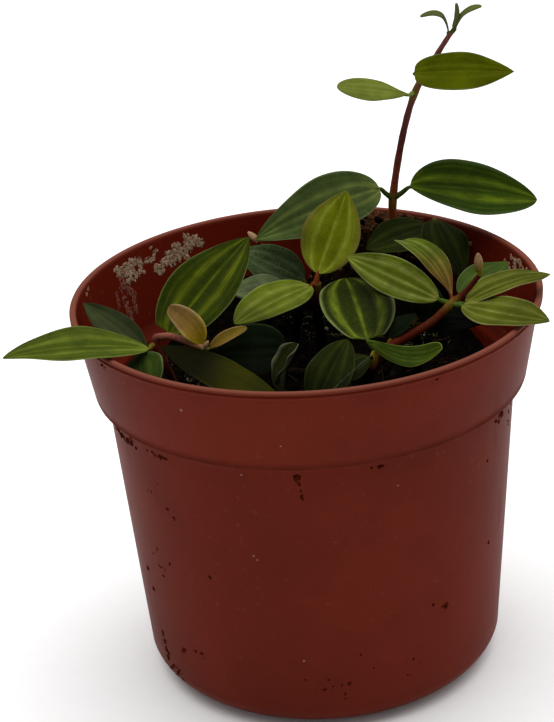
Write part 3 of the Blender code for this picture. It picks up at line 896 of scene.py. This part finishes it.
def heap_crumbs(finish_used):
    """Dry brown crumbs over the heap at the back, up to the lip."""
    crumbs = Body()
    for _ in range(HEAP_CRUMBS):
        x = HEAP_CENTRE[0] + draw.gauss(0, HEAP_SPREAD[0])
        y = HEAP_CENTRE[1] + draw.gauss(0, HEAP_SPREAD[1])
        size = HEAP_CRUMB_SIZES[0] + HEAP_CRUMB_SIZES[1] * draw.random() ** 2
        angle = math.atan2(y, x)
        reach = edge_of_peat(angle)[0] - size
        if math.hypot(x, y) > reach:
            x, y = around(reach, angle)
        halves = tumbled(size, size * 0.75, size * 0.6)
        shade = draw.choice((0.55, 0.7, 0.85, 1.0, 1.25))
        centre = Vector((x, y, min(peat_height(x, y) + size * 0.3, POT_HEIGHT - 1)))
        crumbs.add(lump(centre, *halves), (shade,) * 3)
    crumbs.piece("dry_crumbs", [finish_used], "peat")


# Moss on the peat: x, y, spread, count
MOSS_SPOTS = [
    (-1.0, 46.0, 2.5, 60), (3.0, 31.0, 1.6, 44), (34.0, 26.0, 2.2, 50), (29.5, 18.0, 1.8, 30),
    (10.0, 26.0, 1.6, 30), (-2.0, 36.0, 2.0, 34), (37.0, 4.0, 2.0, 24), (-22.0, 14.0, 2.5, 30),
    (12.0, -12.0, 1.6, 24), (-30.0, 10.0, 2.0, 24),
]


def moss_tufts(finish_used):
    """Small loose tufts of dull green moss."""
    moss = Body()
    for x, y, spread, count in MOSS_SPOTS:
        for _ in range(count):
            here = Vector((x + draw.gauss(0, spread), y + draw.gauss(0, spread), 0.0))
            size = draw.uniform(*TUFT_SIZES)
            here.z = peat_height(here.x, here.y) + size * 0.5
            shape = lump(here, *tumbled(size * 1.4, size * 0.4, size * 0.5))
            moss.add(shape, (draw.uniform(0.5, 1.3),) * 3)
    moss.piece("moss_tufts", [finish_used], "peat")


# Leaves and stems

# The stems' own dark foot, darkened further as painted shade down in the pot
DARK_FOOT_AND_SHADE = linear((13, 7, 6))
MAROON = linear((40, 12, 12))
MAUVE = linear((104, 60, 54))
DARK_MAUVE = linear((84, 40, 36))
RED_BROWN = linear((66, 16, 3))
RUST = linear((96, 42, 12))
LIGHT_RUST = linear((124, 58, 22))
ARC_PINK = linear((128, 76, 62))
OLIVE = linear((96, 82, 22))
LEAF_GREEN = linear((60, 76, 22))
DARK_STALK = linear((34, 38, 10))
WORN_MAROON = linear((70, 20, 14))
ARC_END = linear((140, 104, 72))
CHESTNUT = linear((66, 24, 6))
PALE_GREEN = linear((120, 130, 62))
CREAM = linear((150, 122, 88))
YOUNG_PINK = linear((142, 104, 84))
STUB_BROWN = linear((150, 96, 60))
STUB_YELLOW = linear((176, 168, 50))
BUD_TAN = linear((128, 98, 70))
BUD_OLIVE = linear((104, 92, 24))


def outline(t, widest, blunt):
    """The blade's half width at t along its length, as a share of its widest.

    Blunt is how full the base and the tip are: a low value is round, a high one pointed.
    """
    if t <= 0 or t >= 1:
        return 0.0
    power = math.log(0.5) / math.log(widest)
    full = math.sin(math.pi * t**power)
    return full ** (blunt[0] + (blunt[1] - blunt[0]) * eased(t))


def painted_depth_shade(point):
    """How much of its colour a leaf or stem keeps under the painted shade deep inside the pot."""
    inside = 1 - eased((math.hypot(point.x, point.y) - SHADED_WITHIN) / SHADED_EDGE)
    deep = 1 - eased((point.z - DARK_HEIGHT) / (UNSHADED_HEIGHT - DARK_HEIGHT))
    return 1 - DEEPEST * inside * deep


class Midrib:
    """A leaf's middle line, from base to tip: it rises by arch and bows sideways by sweep."""

    def __init__(self, base, tip, faces_to, arch, sweep):
        self.base = Vector(base)
        self.span = Vector(tip) - self.base
        self.along = self.span.normalized()
        self.up = square_to(Vector(faces_to), self.along)
        self.bow = arch * self.up + sweep * self.up.cross(self.along)

    def at(self, t):
        """Its point and its heading at a share of its length."""
        heading = self.span + self.bow * (4 * (1 - 2 * t))
        return self.base + self.span * t + self.bow * (4 * t * (1 - t)), heading.normalized()


def blade(midrib, width, cup=0.15, curl=0.0, widest=0.45, skew=0.0, lobe=0.0, ripple=0.9,
          blunt=(0.7, 0.75)):
    """Points, faces, places and finishes of one leaf blade.

    The edges rise by cup times the half width, less curl near the base. Skew moves the widest
    place of one half towards the base and of the other towards the tip, and lobe draws the base
    back on both sides of the stalk. Veins are sunk into the upper side, and the midrib stands
    out below.
    """
    rows, columns = BLADE_GRID if width > NARROW else NARROW_GRID
    ripple *= min(1.0, width / 12)
    size = min(1.0, width / 14)
    shift = Vector([waves.uniform(0, 50) for _ in range(3)])
    spans = [math.sin(math.pi / 2 * (2 * k / columns - 1)) for k in range(columns + 1)]
    loop = [(v, False) for v in spans] + [(v, True) for v in reversed(spans[1:-1])]
    points = []
    places = []
    for row in range(rows + 1):
        t = row / rows
        t += 0.6 * ((1 - math.cos(math.pi * t)) / 2 - t)
        centre, heading = midrib.at(t)
        up = square_to(midrib.up, heading)
        side = up.cross(heading)
        ends = math.sin(math.pi * t) ** 0.5 if 0 < t < 1 else 0.0
        for v, below in loop:
            out = abs(v)
            place = widest - math.copysign(skew, v) if v else widest
            half = max(width / 2 * outline(t, place, blunt), BLADE_END)
            rise = (cup - curl * (1 - t) ** 2) * half * out ** 1.5
            back = lobe * out * (1 - t) ** 4 * eased(t / 0.07)
            full = math.sqrt(max(0.0, 1 - out ** 5))
            wave = noise.noise(Vector((t * 3.2, v * 1.3, 0)) + shift) * ripple * ends * out
            lift = rise + wave - MARGIN_DROP * (1 - full)
            if below:
                lift -= BLADE * full * (0.5 + 0.5 * ends)
                lift -= MIDRIB_RIDGE * size * bell(v * half, 0.55) * ends
            else:
                lift -= MIDRIB_GROOVE * size * bell(v * half, 0.45) * ends
                lift -= VEIN_GROOVE * size * bell((out - SIDE_VEIN) * half, 0.4) * ends
                swell = math.sin(math.pi * min(1.0, out / SIDE_VEIN)) ** 2
                lift += SWELL_BETWEEN * size * swell * ends
            points.append(centre + side * (half * v) + up * lift - midrib.along * back)
            places.append(((v + 1) / 2, t))
    count = len(loop)
    caps = [tuple(range(count)), tuple(reversed(range(rows * count, (rows + 1) * count)))]
    finishes = [int(k >= columns) for _ in range(rows) for k in range(count)] + [0, 0]
    return points, skin(rows + 1, count, inward=True) + caps, places, finishes


class Shoot:
    """One leafy stem: a piece for its stems, stalks and buds, and one for each leaf."""

    def __init__(self, node, slot, finishes):
        self.node = node
        self.slot = slot
        self.finishes = finishes
        self.stems = Body()

    def stem(self, root, route, widths, shades, joints=()):
        """A stem from its root, smooth through the route, swollen and paler at its joints.

        There is one radius and one shade for each point of the route.
        """
        steps = 9
        curve = [Vector(root)] + smooth_route(route, steps)
        radii = []
        tints = []
        for i, point in enumerate(curve):
            place = max(0, i - 1) / steps
            low = min(int(place), len(route) - 2)
            share = place - low
            near = [bell((point - Vector(joint)).length, JOINT_REACH) for joint in joints]
            near = max(near, default=0)
            radius = widths[low] + (widths[low + 1] - widths[low]) * share
            radii.append(radius * (1 + JOINT_SWELL * near) * (1 + 0.04 * math.sin(i * 1.7)))
            shade = mixed(shades[low], shades[low + 1], share)
            tints += [mixed(shade, OLIVE, 0.7 * near)] * STEM_SIDES
        self.stems.add(tube(curve, radii, STEM_SIDES), tints)

    def twig(self, route, foot_radius, tip_radius, shade):
        self.stems.add(cane(route, 8, STALK_SIDES, foot_radius, tip_radius), shade)

    def bud(self, foot, tip, radius, low=OLIVE, high=CREAM):
        """A small closed bud, with a furrow down each side."""
        steps = 12
        sides = 16
        shares = [i / steps for i in range(steps + 1)]
        route = [Vector(foot).lerp(Vector(tip), 1.1 * share - 0.1) for share in shares]
        radii = [radius * math.sin(math.pi * (0.16 + 0.8 * share)) ** 0.7 for share in shares]
        points, faces = tube(route, radii, sides)
        for i, point in enumerate(points):
            ring, place = divmod(i, sides)
            furrow = 0.14 * math.cos(4 * math.pi * place / sides)
            points[i] = route[ring] + (point - route[ring]) * (1 + furrow)
        shades = [mixed(low, high, eased(share * 1.3)) for share in shares for _ in range(sides)]
        self.stems.add((points, faces), shades)

    def leaf(self, name, look, node, base, tip, width, faces_to, arch=0.0, sweep=0.0,
             dim_end=0.0, painted_side_shade=0.0, base_tint=WHITE, stalk=OLIVE, stalk_size=None, **form):
        """A blade from base to tip, on a stalk from the stem's node.

        It can be darker towards its tip end, have painted shade on one side (the other one for
        a negative value) and have another tint at its base. The form is what the blade itself takes.
        """
        midrib = Midrib(base, tip, faces_to, arch, sweep)
        points, faces, places, finishes = blade(midrib, width, **form)
        shades = []
        for point, (across, along) in zip(points, places):
            # Painted shade deep inside the pot and on one side; the tip end can also be darker
            light = painted_depth_shade(point) * (1 - dim_end * eased((along - 0.25) / 0.45))
            over = (2 * across - 1) * math.copysign(1, painted_side_shade)
            light *= 1 - abs(painted_side_shade) * eased(over / 0.6)
            tint = mixed(base_tint, WHITE, eased(along / 0.8))
            shades.append(tuple(light * value for value in tint))
        made = Body()
        made.add((points, faces), shades, places, finishes)
        made.piece(name, self.finishes[look], self.slot, self.node)
        node = Vector(node)
        heel = midrib.base - midrib.up * BLADE * 0.6
        reach = midrib.at(0)[1] * min(2.4, 0.3 * (width - 2))
        route = [node, node.lerp(heel, 0.6), heel, midrib.base + reach - midrib.up * BLADE]
        size = stalk_size or PETIOLE_RADIUS * min(1.0, 0.45 + width / 16)
        self.stems.add(cane(route, 5, STALK_SIDES, size, size * PETIOLE_THINNING, 1.3), stalk)

    def done(self, finish_used):
        """The stems as a piece, with painted shade where they are deep inside the pot."""
        shaded = zip(self.stems.shades, self.stems.points)
        self.stems.shades = [mixed((0, 0, 0), shade, painted_depth_shade(point)) for shade, point in shaded]
        name = self.node.replace("shoot_", "") + "_stems"
        self.stems.piece(name, [finish_used], self.slot, self.node)


def upright_shoot(shoot):
    lower = (25, 41, 110)
    upper = (32, 39, 140.5)
    top = (41.2, 39, 155)
    route = [(25, 42, 100), lower, (28, 40, 127), upper, (38, 39, 150.2), (41.8, 39, 155.8)]
    shades = [LIGHT_RUST, LIGHT_RUST, DARK_MAUVE, MAUVE, MAUVE, MAUVE]
    shoot.stem((25, 42, 86), route, [1.05, 1.02, 0.92, 0.86, 0.74, 0.67], shades, [lower, upper])
    leaf = shoot.leaf
    leaf("upright_low_right", "striped_dark", lower, (29.5, 38, 114.5), (63, 34, 110), 17.3,
         (1, -7, 10), arch=1.9, skew=0.1, blunt=(0.7, 0.62), stalk=LEAF_GREEN)
    leaf("upright_low_left", "silver_dark", lower, (21.5, 38, 114.5), (-12.5, 34, 103.5), 17.5,
         (-2, -8, 10), arch=2, widest=0.36, dim_end=0.1, stalk=LEAF_GREEN)
    leaf("upright_high_right", "olive_plain", (33.6, 38.6, 144), (31.6, 35.3, 146.7),
         (57.5, 34, 145.9), 10.4, (0, -9, 6), arch=1, cup=0.1, widest=0.42, blunt=(0.42, 0.85),
         stalk_size=0.55)
    leaf("upright_high_left", "olive_pale", upper, (30.5, 38, 140.3), (11.5, 36, 144.2), 10,
         (0, -3, 10), cup=0.1, widest=0.55, blunt=(0.85, 0.5), stalk=PALE_GREEN)
    sprout = {"blunt": (0.3, 0.3), "stalk": LEAF_GREEN, "stalk_size": 0.6}
    leaf("upright_tip_left", "tip_green", top, (41.2, 39, 156.5), (33.8, 38, 161), 2.9,
         (-3, -2, 10), arch=3, **sprout)
    leaf("upright_tip_middle", "tip_green", top, (42.2, 39, 157), (43.3, 39, 163.5), 2.8,
         (-10, -3, 0), arch=-0.5, **sprout)
    leaf("upright_tip_right", "tip_green", top, (42.8, 39, 157), (49.8, 38, 162.8), 2.9,
         (-6, -2, 10), arch=1.8, **sprout)


def left_shoot(shoot):
    node = (-37.5, -23, 100.5)
    end = (-25.6, -24.3, 99)
    route = [(-30, -26, 75), (-33, -26, 90), node, (-35.2, -23, 102.3), (-31.8, -24, 102), end]
    shades = [DARK_FOOT_AND_SHADE, WORN_MAROON, WORN_MAROON, ARC_PINK, ARC_PINK, ARC_END]
    shoot.stem((-29.5, -26, 62), route, [1.05, 1.05, 0.95, 0.85, 0.85, 0.85], shades)
    leaf = shoot.leaf
    leaf("left_outer", "striped_pale", node, (-39, -25, 100.3), (-73, -37, 105.5), 15,
         (0, -1.5, 10), arch=1.8)
    # This leaf gets painted shade on one side
    leaf("left_back", "grey_plain", node, (-40, -22, 98.5), (-56.5, 0.5, 102.5), 8, (-4, -4, 10),
         cup=0.1, painted_side_shade=-0.45)
    leaf("left_under", "mid_plain", node, (-41.4, -24, 99.2), (-39.3, -37.5, 92.9), 13.2,
         (-6, -6, 10), arch=1, cup=0.1, widest=0.52, blunt=(0.9, 0.7), stalk=DARK_STALK)
    leaf("left_tall", "striped_mid", (-36.5, -22.8, 101.6), (-34, -20, 101.5), (-13.5, 2, 117),
         18, (-3, -8, 8), arch=1, widest=0.4, lobe=2)
    leaf("left_young_left", "young", end, (-25.8, -24.3, 99.8), (-33.6, -22, 109.4), 6.4,
         (2, -8, 4), arch=1, cup=0.2, base_tint=(0.85, 0.98, 0.08), sweep=-0.9,
         blunt=(0.8, 0.4), stalk=PALE_GREEN)
    leaf("left_young_right", "young_brown", end, (-24.4, -24.3, 99), (-14.8, -22, 102.9), 3.3,
         (-1, -6, 8), arch=0.8, cup=0.3, blunt=(0.7, 0.4), stalk=PALE_GREEN)
    shoot.bud(end, (-24.4, -24.5, 101), 0.65)


def centre_shoot(shoot):
    node = (3, 18.5, 96.5)
    route = [(4, 15, 75), (3, 18, 88), node]
    shoot.stem((4, 14, 62), route, [1.4, 1.3, 1.1], [DARK_FOOT_AND_SHADE, DARK_FOOT_AND_SHADE, RUST], [node])
    shoot.leaf("centre_high", "bright", node, (3.5, 20, 98.5), (12.5, 31, 117), 15.5,
               (0, -8, 6), arch=-0.5, cup=0.12, blunt=(0.6, 0.82), stalk=RUST)
    shoot.leaf("centre_low", "bright_soft", node, (1.5, 17, 96.5), (-18.5, 1, 93.8), 14,
               (-2, -4, 10), arch=1, blunt=(0.65, 0.6), stalk=RUST)


def right_shoot(shoot):
    lower = (17, -28, 96)
    upper = (36, -13.5, 102)
    route = [(9, -21, 75), (13.5, -25, 88), lower, (22, -24, 97.5), (30, -18, 99), upper,
             (40.2, -12, 105), (43.4, -12, 108.9)]
    shades = [DARK_FOOT_AND_SHADE, MAROON, RED_BROWN, RED_BROWN, CHESTNUT, CHESTNUT, WORN_MAROON, CHESTNUT]
    widths = [1.8, 1.7, 1.4, 1.15, 1.08, 1.0, 0.68, 0.6]
    shoot.stem((8, -20, 62), route, widths, shades, [lower, upper])
    leaf = shoot.leaf
    # The right half of this cupped leaf gets painted shade
    leaf("right_broad", "edged_dark", lower, (14.4, -26.5, 99.8), (10.5, 5, 103), 18.5,
         (0.5, -3.5, 10), arch=1.5, lobe=2, painted_side_shade=-0.6, blunt=(0.6, 0.55), stalk=LEAF_GREEN)
    leaf("right_rolled", "rolled_green", lower, (14.8, -31, 101.4), (31.6, -38, 101.6), 6.6,
         (-2, -5, 9), arch=-5.6, cup=0.4, curl=0.6, widest=0.66, blunt=(0.3, 0.4),
         stalk=LEAF_GREEN)
    shoot.bud((15.5, -28, 93.0), (16.2, -29.8, 98.6), 1.35, STUB_BROWN, STUB_YELLOW)
    leaf("right_inner", "deep_green", (19, -26, 97), (20, -24, 98.5), (27, -14, 100.5), 6,
         (-4, -5, 8), arch=0.5, cup=0.3)
    leaf("right_low", "dim_striped", lower, (14.7, -30.5, 96.8), (5.2, -38, 92.3), 7.5,
         (-3, -6, 8), arch=0.5, cup=0.1, sweep=-1, stalk=DARK_STALK)
    leaf("right_high_left", "bright_edged", upper, (33, -12, 103), (11, 0, 111), 10.3,
         (-2, -7, 8), arch=0.8, stalk=LEAF_GREEN)
    leaf("right_curved", "amber", upper, (36.5, -12, 103.4), (25.3, 8, 111.2), 9.4, (4, -3, 9),
         arch=3, cup=0.25, base_tint=(1.6, 0.6, 1.3), widest=0.58, blunt=(0.75, 0.22), stalk=RUST)
    leaf("right_high_right", "bright_worn", upper, (39.5, -14, 102.5), (61.2, -8, 106.3), 11.8,
         (0, 0, 10), arch=1.7, dim_end=0.3, widest=0.42, stalk=LEAF_GREEN)
    leaf("right_front", "bright_worn", upper, (38.5, -16, 102.8), (57.8, -34, 105.2), 12,
         (0, -3, 10), arch=-0.3, dim_end=0.3, stalk=LEAF_GREEN)
    leaf("right_behind", "mid_plain", upper, (38.5, -10, 103), (52, 6, 104.5), 10, (-1, -4, 10),
         arch=0.5, cup=0.1)
    shoot.twig([(43.3, -12, 108.5), (43.4, -12, 109.8), (43.2, -12, 111.2)], 0.62, 0.7, BUD_OLIVE)
    shoot.bud((43.2, -12, 110.2), (43.0, -12, 114.6), 1.15, BUD_OLIVE, BUD_TAN)


def front_left_shoot(shoot):
    node = (-7.5, -37, 91)
    route = [(-8, -33, 75), (-8, -36, 84), node]
    shoot.stem((-8, -33, 62), route, [1.3, 1.2, 1.1], [DARK_FOOT_AND_SHADE, DARK_FOOT_AND_SHADE, OLIVE])
    # dim_end paints the shade that the left stem's arc casts over this leaf's tip end
    shoot.leaf("front_left_long", "dark_olive", node, (-7.5, -38.8, 92), (-35.6, -29.2, 102.6),
               14.5, (0, -1, 10), arch=-1.2, cup=0.05, skew=-0.12, dim_end=0.9)
    shoot.leaf("front_left_dark", "deep_green", node, (-5.5, -24, 97.5), (-23.3, -21, 96), 14,
               (0, -6.6, 7.5), arch=0.6, cup=0.1, blunt=(0.5, 0.7), stalk=DARK_STALK)
    shoot.leaf("front_left_rolled", "rolled_dark", node, (-9.0, -36, 94), (-2.6, -31, 101.8),
               6.2, (-8, -4, 4), cup=0.7, widest=0.55, ripple=2.6, blunt=(0.6, 0.38),
               stalk=DARK_STALK)


def short_stem(shoot, root, low, high, node):
    """The plain stem of a small shoot in the shade."""
    shoot.stem(root, [low, high, node], [1.2, 1.1, 1.0], [DARK_FOOT_AND_SHADE, DARK_FOOT_AND_SHADE, OLIVE])


def front_shoot(shoot):
    node = (2.5, -42, 88)
    short_stem(shoot, (2, -38, 62), (2, -38, 75), (2, -40, 84), node)
    shoot.leaf("front_low", "dim_striped", node, (0.8, -42, 90.3), (9.4, -30, 101.7), 11.5,
               (-3, -8, 6), arch=0.5, blunt=(0.6, 0.6))


def back_left_shoot(shoot):
    node = (0, 27, 91)
    short_stem(shoot, (-4, 26, 62), (-4, 26, 75), (-2, 27, 84), node)
    shoot.leaf("back_left_high", "grey_green", node, (0, 28.5, 93.3), (-17, 36, 100), 13,
               (1, -6, 10), arch=0.5, cup=0.1)
    shoot.leaf("back_left_low", "grey_pale", node, (-2, 25.5, 91.5), (-19, 16, 96), 12,
               (1, -5, 10), arch=0.5, cup=0.1)
    shoot.twig([node, (-6, 35, 96), (-12, 39, 101)], 0.8, 0.6, RED_BROWN)
    shoot.bud((-12, 39, 101), (-14.5, 40, 103.5), 0.9, YOUNG_PINK, CREAM)


def back_right_shoot(shoot):
    node = (36, 41, 103)
    shoot.stem((34, 36, 85), [(35, 38.5, 100), node], [1.2, 0.9], [RUST, OLIVE])
    shoot.leaf("back_right_left", "dim_striped", (36, 40.5, 102), (34.5, 39, 102.5),
               (16.8, 28, 101.2), 12, (0, -6, 10), arch=0.5, cup=0.1)
    shoot.leaf("back_right_down", "dim_striped", node, (36, 40, 104), (41.8, 23.5, 93.5), 13,
               (3, -4, 10), arch=1.2, cup=0.1, dim_end=0.35, sweep=-1)


def middle_right_shoot(shoot):
    node = (28, 3, 90)
    short_stem(shoot, (28, 7, 62), (28, 6, 75), (28, 4, 84), node)
    shoot.leaf("middle_upright", "mid_plain", node, (29, 1.5, 92), (29.5, -2, 105), 13,
               (-2, -8, 4), cup=0.1)
    shoot.leaf("middle_low", "deep_green", node, (29, 1, 91), (44, -8, 94), 10, (-1, -4, 10),
               arch=1, cup=0.1)


# Each shoot of the model: its material slot and what grows it
SHOOTS = {
    "shoot_upright": ("dark_leaf", upright_shoot),
    "shoot_left": ("mid_leaf", left_shoot),
    "shoot_centre": ("bright_leaf", centre_shoot),
    "shoot_right": ("bright_leaf", right_shoot),
    "shoot_front_left": ("dark_leaf", front_left_shoot),
    "shoot_front": ("dark_leaf", front_shoot),
    "shoot_back_left": ("grey_leaf", back_left_shoot),
    "shoot_back_right": ("dark_leaf", back_right_shoot),
    "shoot_middle_right": ("dark_leaf", middle_right_shoot),
}
# Each look: ground, stripe and margin of the upper side, then its values in the order of
# MARKINGS. The last ones are left out where they are the usual ones
LOOKS = {
    "striped_dark": ((26, 42, 2), (76, 92, 12), (68, 84, 44), 0.9, 0.35, 0.5, 0.16, 0.2, 0.34),
    # Silver dark: its grey is the leaf's green with painted sheen on the upper side
    "silver_dark": ((52, 66, 30), (108, 118, 56), (108, 120, 78),
                    0.55, 0.6, 0.6, 0.12, 0.09, 0.42, 0.08, 0.12),
    "olive_plain": ((68, 75, 1), (98, 102, 18), (112, 118, 72), 0.5, 0.5, 0.6, 0.1, 0.1, 0.32),
    "olive_pale": ((88, 96, 32), (114, 120, 54), (78, 86, 40),
                   0.4, 0.6, 0.5, 0.1, 0.09, 0.42, 0.05, 0.06),
    "tip_green": ((74, 82, 36), (100, 108, 60), (86, 94, 52), 0.2, 0.3, 0.3),
    "striped_pale": ((56, 68, 12), (108, 118, 40), (108, 118, 60), 0.6, 0.45, 0.6, 0.14, 0.09, 0.46),
    # The grey looks: the leaves' green with painted sheen on the upper side
    "grey_plain": ((44, 50, 26), (62, 70, 38), (68, 78, 48),
                   0.4, 0.4, 0.6, 0.1, 0.09, 0.42, 0.05, 0.2, 0.25),
    "grey_green": ((40, 52, 26), (90, 102, 68), (78, 90, 54),
                   0.5, 0.5, 0.6, 0.1, 0.09, 0.42, 0.05, 0.35, 0.35),
    "grey_pale": ((84, 96, 62), (116, 126, 90), (110, 120, 84),
                  0.4, 0.4, 0.6, 0.1, 0.09, 0.42, 0.05, 0.35, 0.35),
    # Dark olive: the leaf's own colour, darkened further as painted shade deep in the pot
    "dark_olive": ((54, 54, 0), (70, 70, 4), (96, 100, 48), 0.3, 0.3, 0.7),
    "striped_mid": ((30, 40, 0), (86, 94, 12), (96, 104, 50), 0.8, 0.65, 0.6, 0.13, 0.06, 0.45),
    "young": ((120, 92, 46), (144, 116, 74), (164, 136, 100),
              0.4, 0.5, 0.9, 0.1, 0.35, 0.42, 0.05, 0.1, 0.35),
    "young_brown": ((86, 70, 18), (104, 84, 38), (128, 98, 70),
                    0.4, 0.5, 0.8, 0.1, 0.3, 0.42, 0.05, 0.08, 0.35),
    "bright": ((92, 100, 6), (138, 144, 50), (98, 90, 40), 0.8, 0.75, 0.85, 0.11, 0.3, 0.54, 0.07),
    "bright_soft": ((80, 92, 8), (130, 136, 58), (114, 122, 66), 0.75, 0.8, 0.8, 0.17, 0.12, 0.46, 0.1),
    "bright_edged": ((70, 82, 8), (134, 140, 66), (122, 128, 76),
                     0.85, 0.8, 0.9, 0.15, 0.1, 0.52, 0.11),
    "bright_worn": ((68, 74, 8), (114, 118, 54), (122, 118, 72),
                    0.7, 0.75, 0.85, 0.13, 0.12, 0.52, 0.1),
    # Edged dark: its dark ground is the leaf's own green with painted shade on top
    "edged_dark": ((26, 34, 2), (94, 106, 24), (108, 118, 66), 0.9, 0.6, 0.75, 0.1, 0.12, 0.6, 0.07),
    "rolled_green": ((42, 58, 8), (88, 102, 30), (130, 140, 62), 0.45, 0.6, 0.8),
    "rolled_dark": ((28, 32, 5), (46, 50, 14), (86, 90, 66), 0.4, 0.4, 1.0, 0.1, 0.3),
    "amber": ((56, 72, 8), (112, 118, 50), (112, 112, 60), 0.7, 0.7, 0.9, 0.14),
    "mid_plain": ((44, 60, 18), (72, 86, 34), (96, 108, 66), 0.5, 0.6, 0.7),
    # Deep green: the leaves' own dark green, darkened further as painted shade deep in the pot
    "deep_green": ((5, 12, 1), (14, 22, 3), (34, 44, 18), 0.5, 0.4),
    "dim_striped": ((24, 30, 4), (54, 64, 14), (60, 70, 28), 0.55, 0.45, 0.6, 0.14),
}


def leaf_finishes():
    """An upper and an under side for each look."""
    markings = leaf_markings()
    made = {}
    for name, (ground, stripe, margin, *values) in LOOKS.items():
        words = name.replace("_", " ")
        pale = [value * 0.6 + 50 for value in ground]
        made[name] = [leaf_finish(words + " leaf", markings, ground, stripe, margin, values),
                      leaf_finish(words + " underside", markings, pale, stripe, margin, UNDERSIDE)]
    return made


# Camera, light and floor

def camera():
    lens = bpy.data.cameras.new("camera")
    lens.sensor_width = SENSOR
    lens.lens = FOCAL_PIXELS * SENSOR / PHOTO_HEIGHT
    lens.clip_start = 0.02
    made = linked("camera", lens)
    turn = Matrix.Identity(4)
    for angle, axis in ((-CAMERA_YAW, "Z"), (math.pi / 2 - CAMERA_PITCH, "X"), (CAMERA_ROLL, "Z")):
        turn = turn @ Matrix.Rotation(angle, 4, axis)
    made.matrix_world = Matrix.Translation(Vector(CAMERA_PLACE) * MM) @ turn
    bpy.context.scene.camera = made


def softbox(name, place, aim, wide, tall, power):
    lamp = bpy.data.lights.new(name, "AREA")
    lamp.shape = "RECTANGLE"
    lamp.size = wide
    lamp.size_y = tall
    lamp.energy = power
    made = linked(name, lamp)
    made.location = place
    made.rotation_euler = (Vector(aim) - Vector(place)).to_track_quat("-Z", "Y").to_euler()


def studio():
    bpy.context.scene.view_settings.view_transform = "Standard"
    world = bpy.data.worlds.new("studio")
    world.use_nodes = True
    background = world.node_tree.nodes["Background"].inputs
    background["Color"].default_value = (*WHITE, 1.0)
    background["Strength"].default_value = ROOM_LIGHT
    bpy.context.scene.world = world
    for values in SOFTBOXES:
        softbox(*values)
    made, nodes, shader = finish("paper floor", roughness=0.9, specular=0.1)
    fibre = nodes.noise(nodes.body(), 300.0, 3.0)
    paper = nodes.mix(fibre, rgba((246, 246, 246)), rgba((250, 250, 250)))
    nodes.feed(shader["Base Color"], paper)
    mesh = bpy.data.meshes.new("floor")
    corners = [(x * FLOOR_REACH, y * FLOOR_REACH, 0) for x, y in ((-1, -1), (1, -1), (1, 1), (-1, 1))]
    mesh.from_pydata(corners, [], [(0, 1, 2, 3)])
    mesh.materials.append(made)
    linked("floor", mesh)


def build():
    camera()
    studio()
    skin_marks = moulded_skin()
    pot(plastic_finish("terracotta plastic", skin_marks, (98, 34, 21), (132, 90, 74), 0.15),
        # The inside's copy of the same plastic is darker and redder: painted shade inside the pot
        plastic_finish("terracotta plastic inside with painted shade", skin_marks, (94, 24, 9), (130, 92, 72), 0.3))
    rough = crumbled_finishes()
    soil_marks(rough)
    lime_marks(rough)
    peat(rough["peat"])
    peat_crumbs(rough["peat crumb"])
    peat_fibres(rough["peat fibre"])
    pale_grit(rough["pale grit"])
    heap_crumbs(rough["dry peat crumb"])
    moss_tufts(rough["dull moss"])
    finishes = leaf_finishes()
    stems = stem_finish()
    for node, (slot, grow) in SHOOTS.items():
        shoot = Shoot(node, slot, finishes)
        grow(shoot)
        shoot.done(stems)


build()
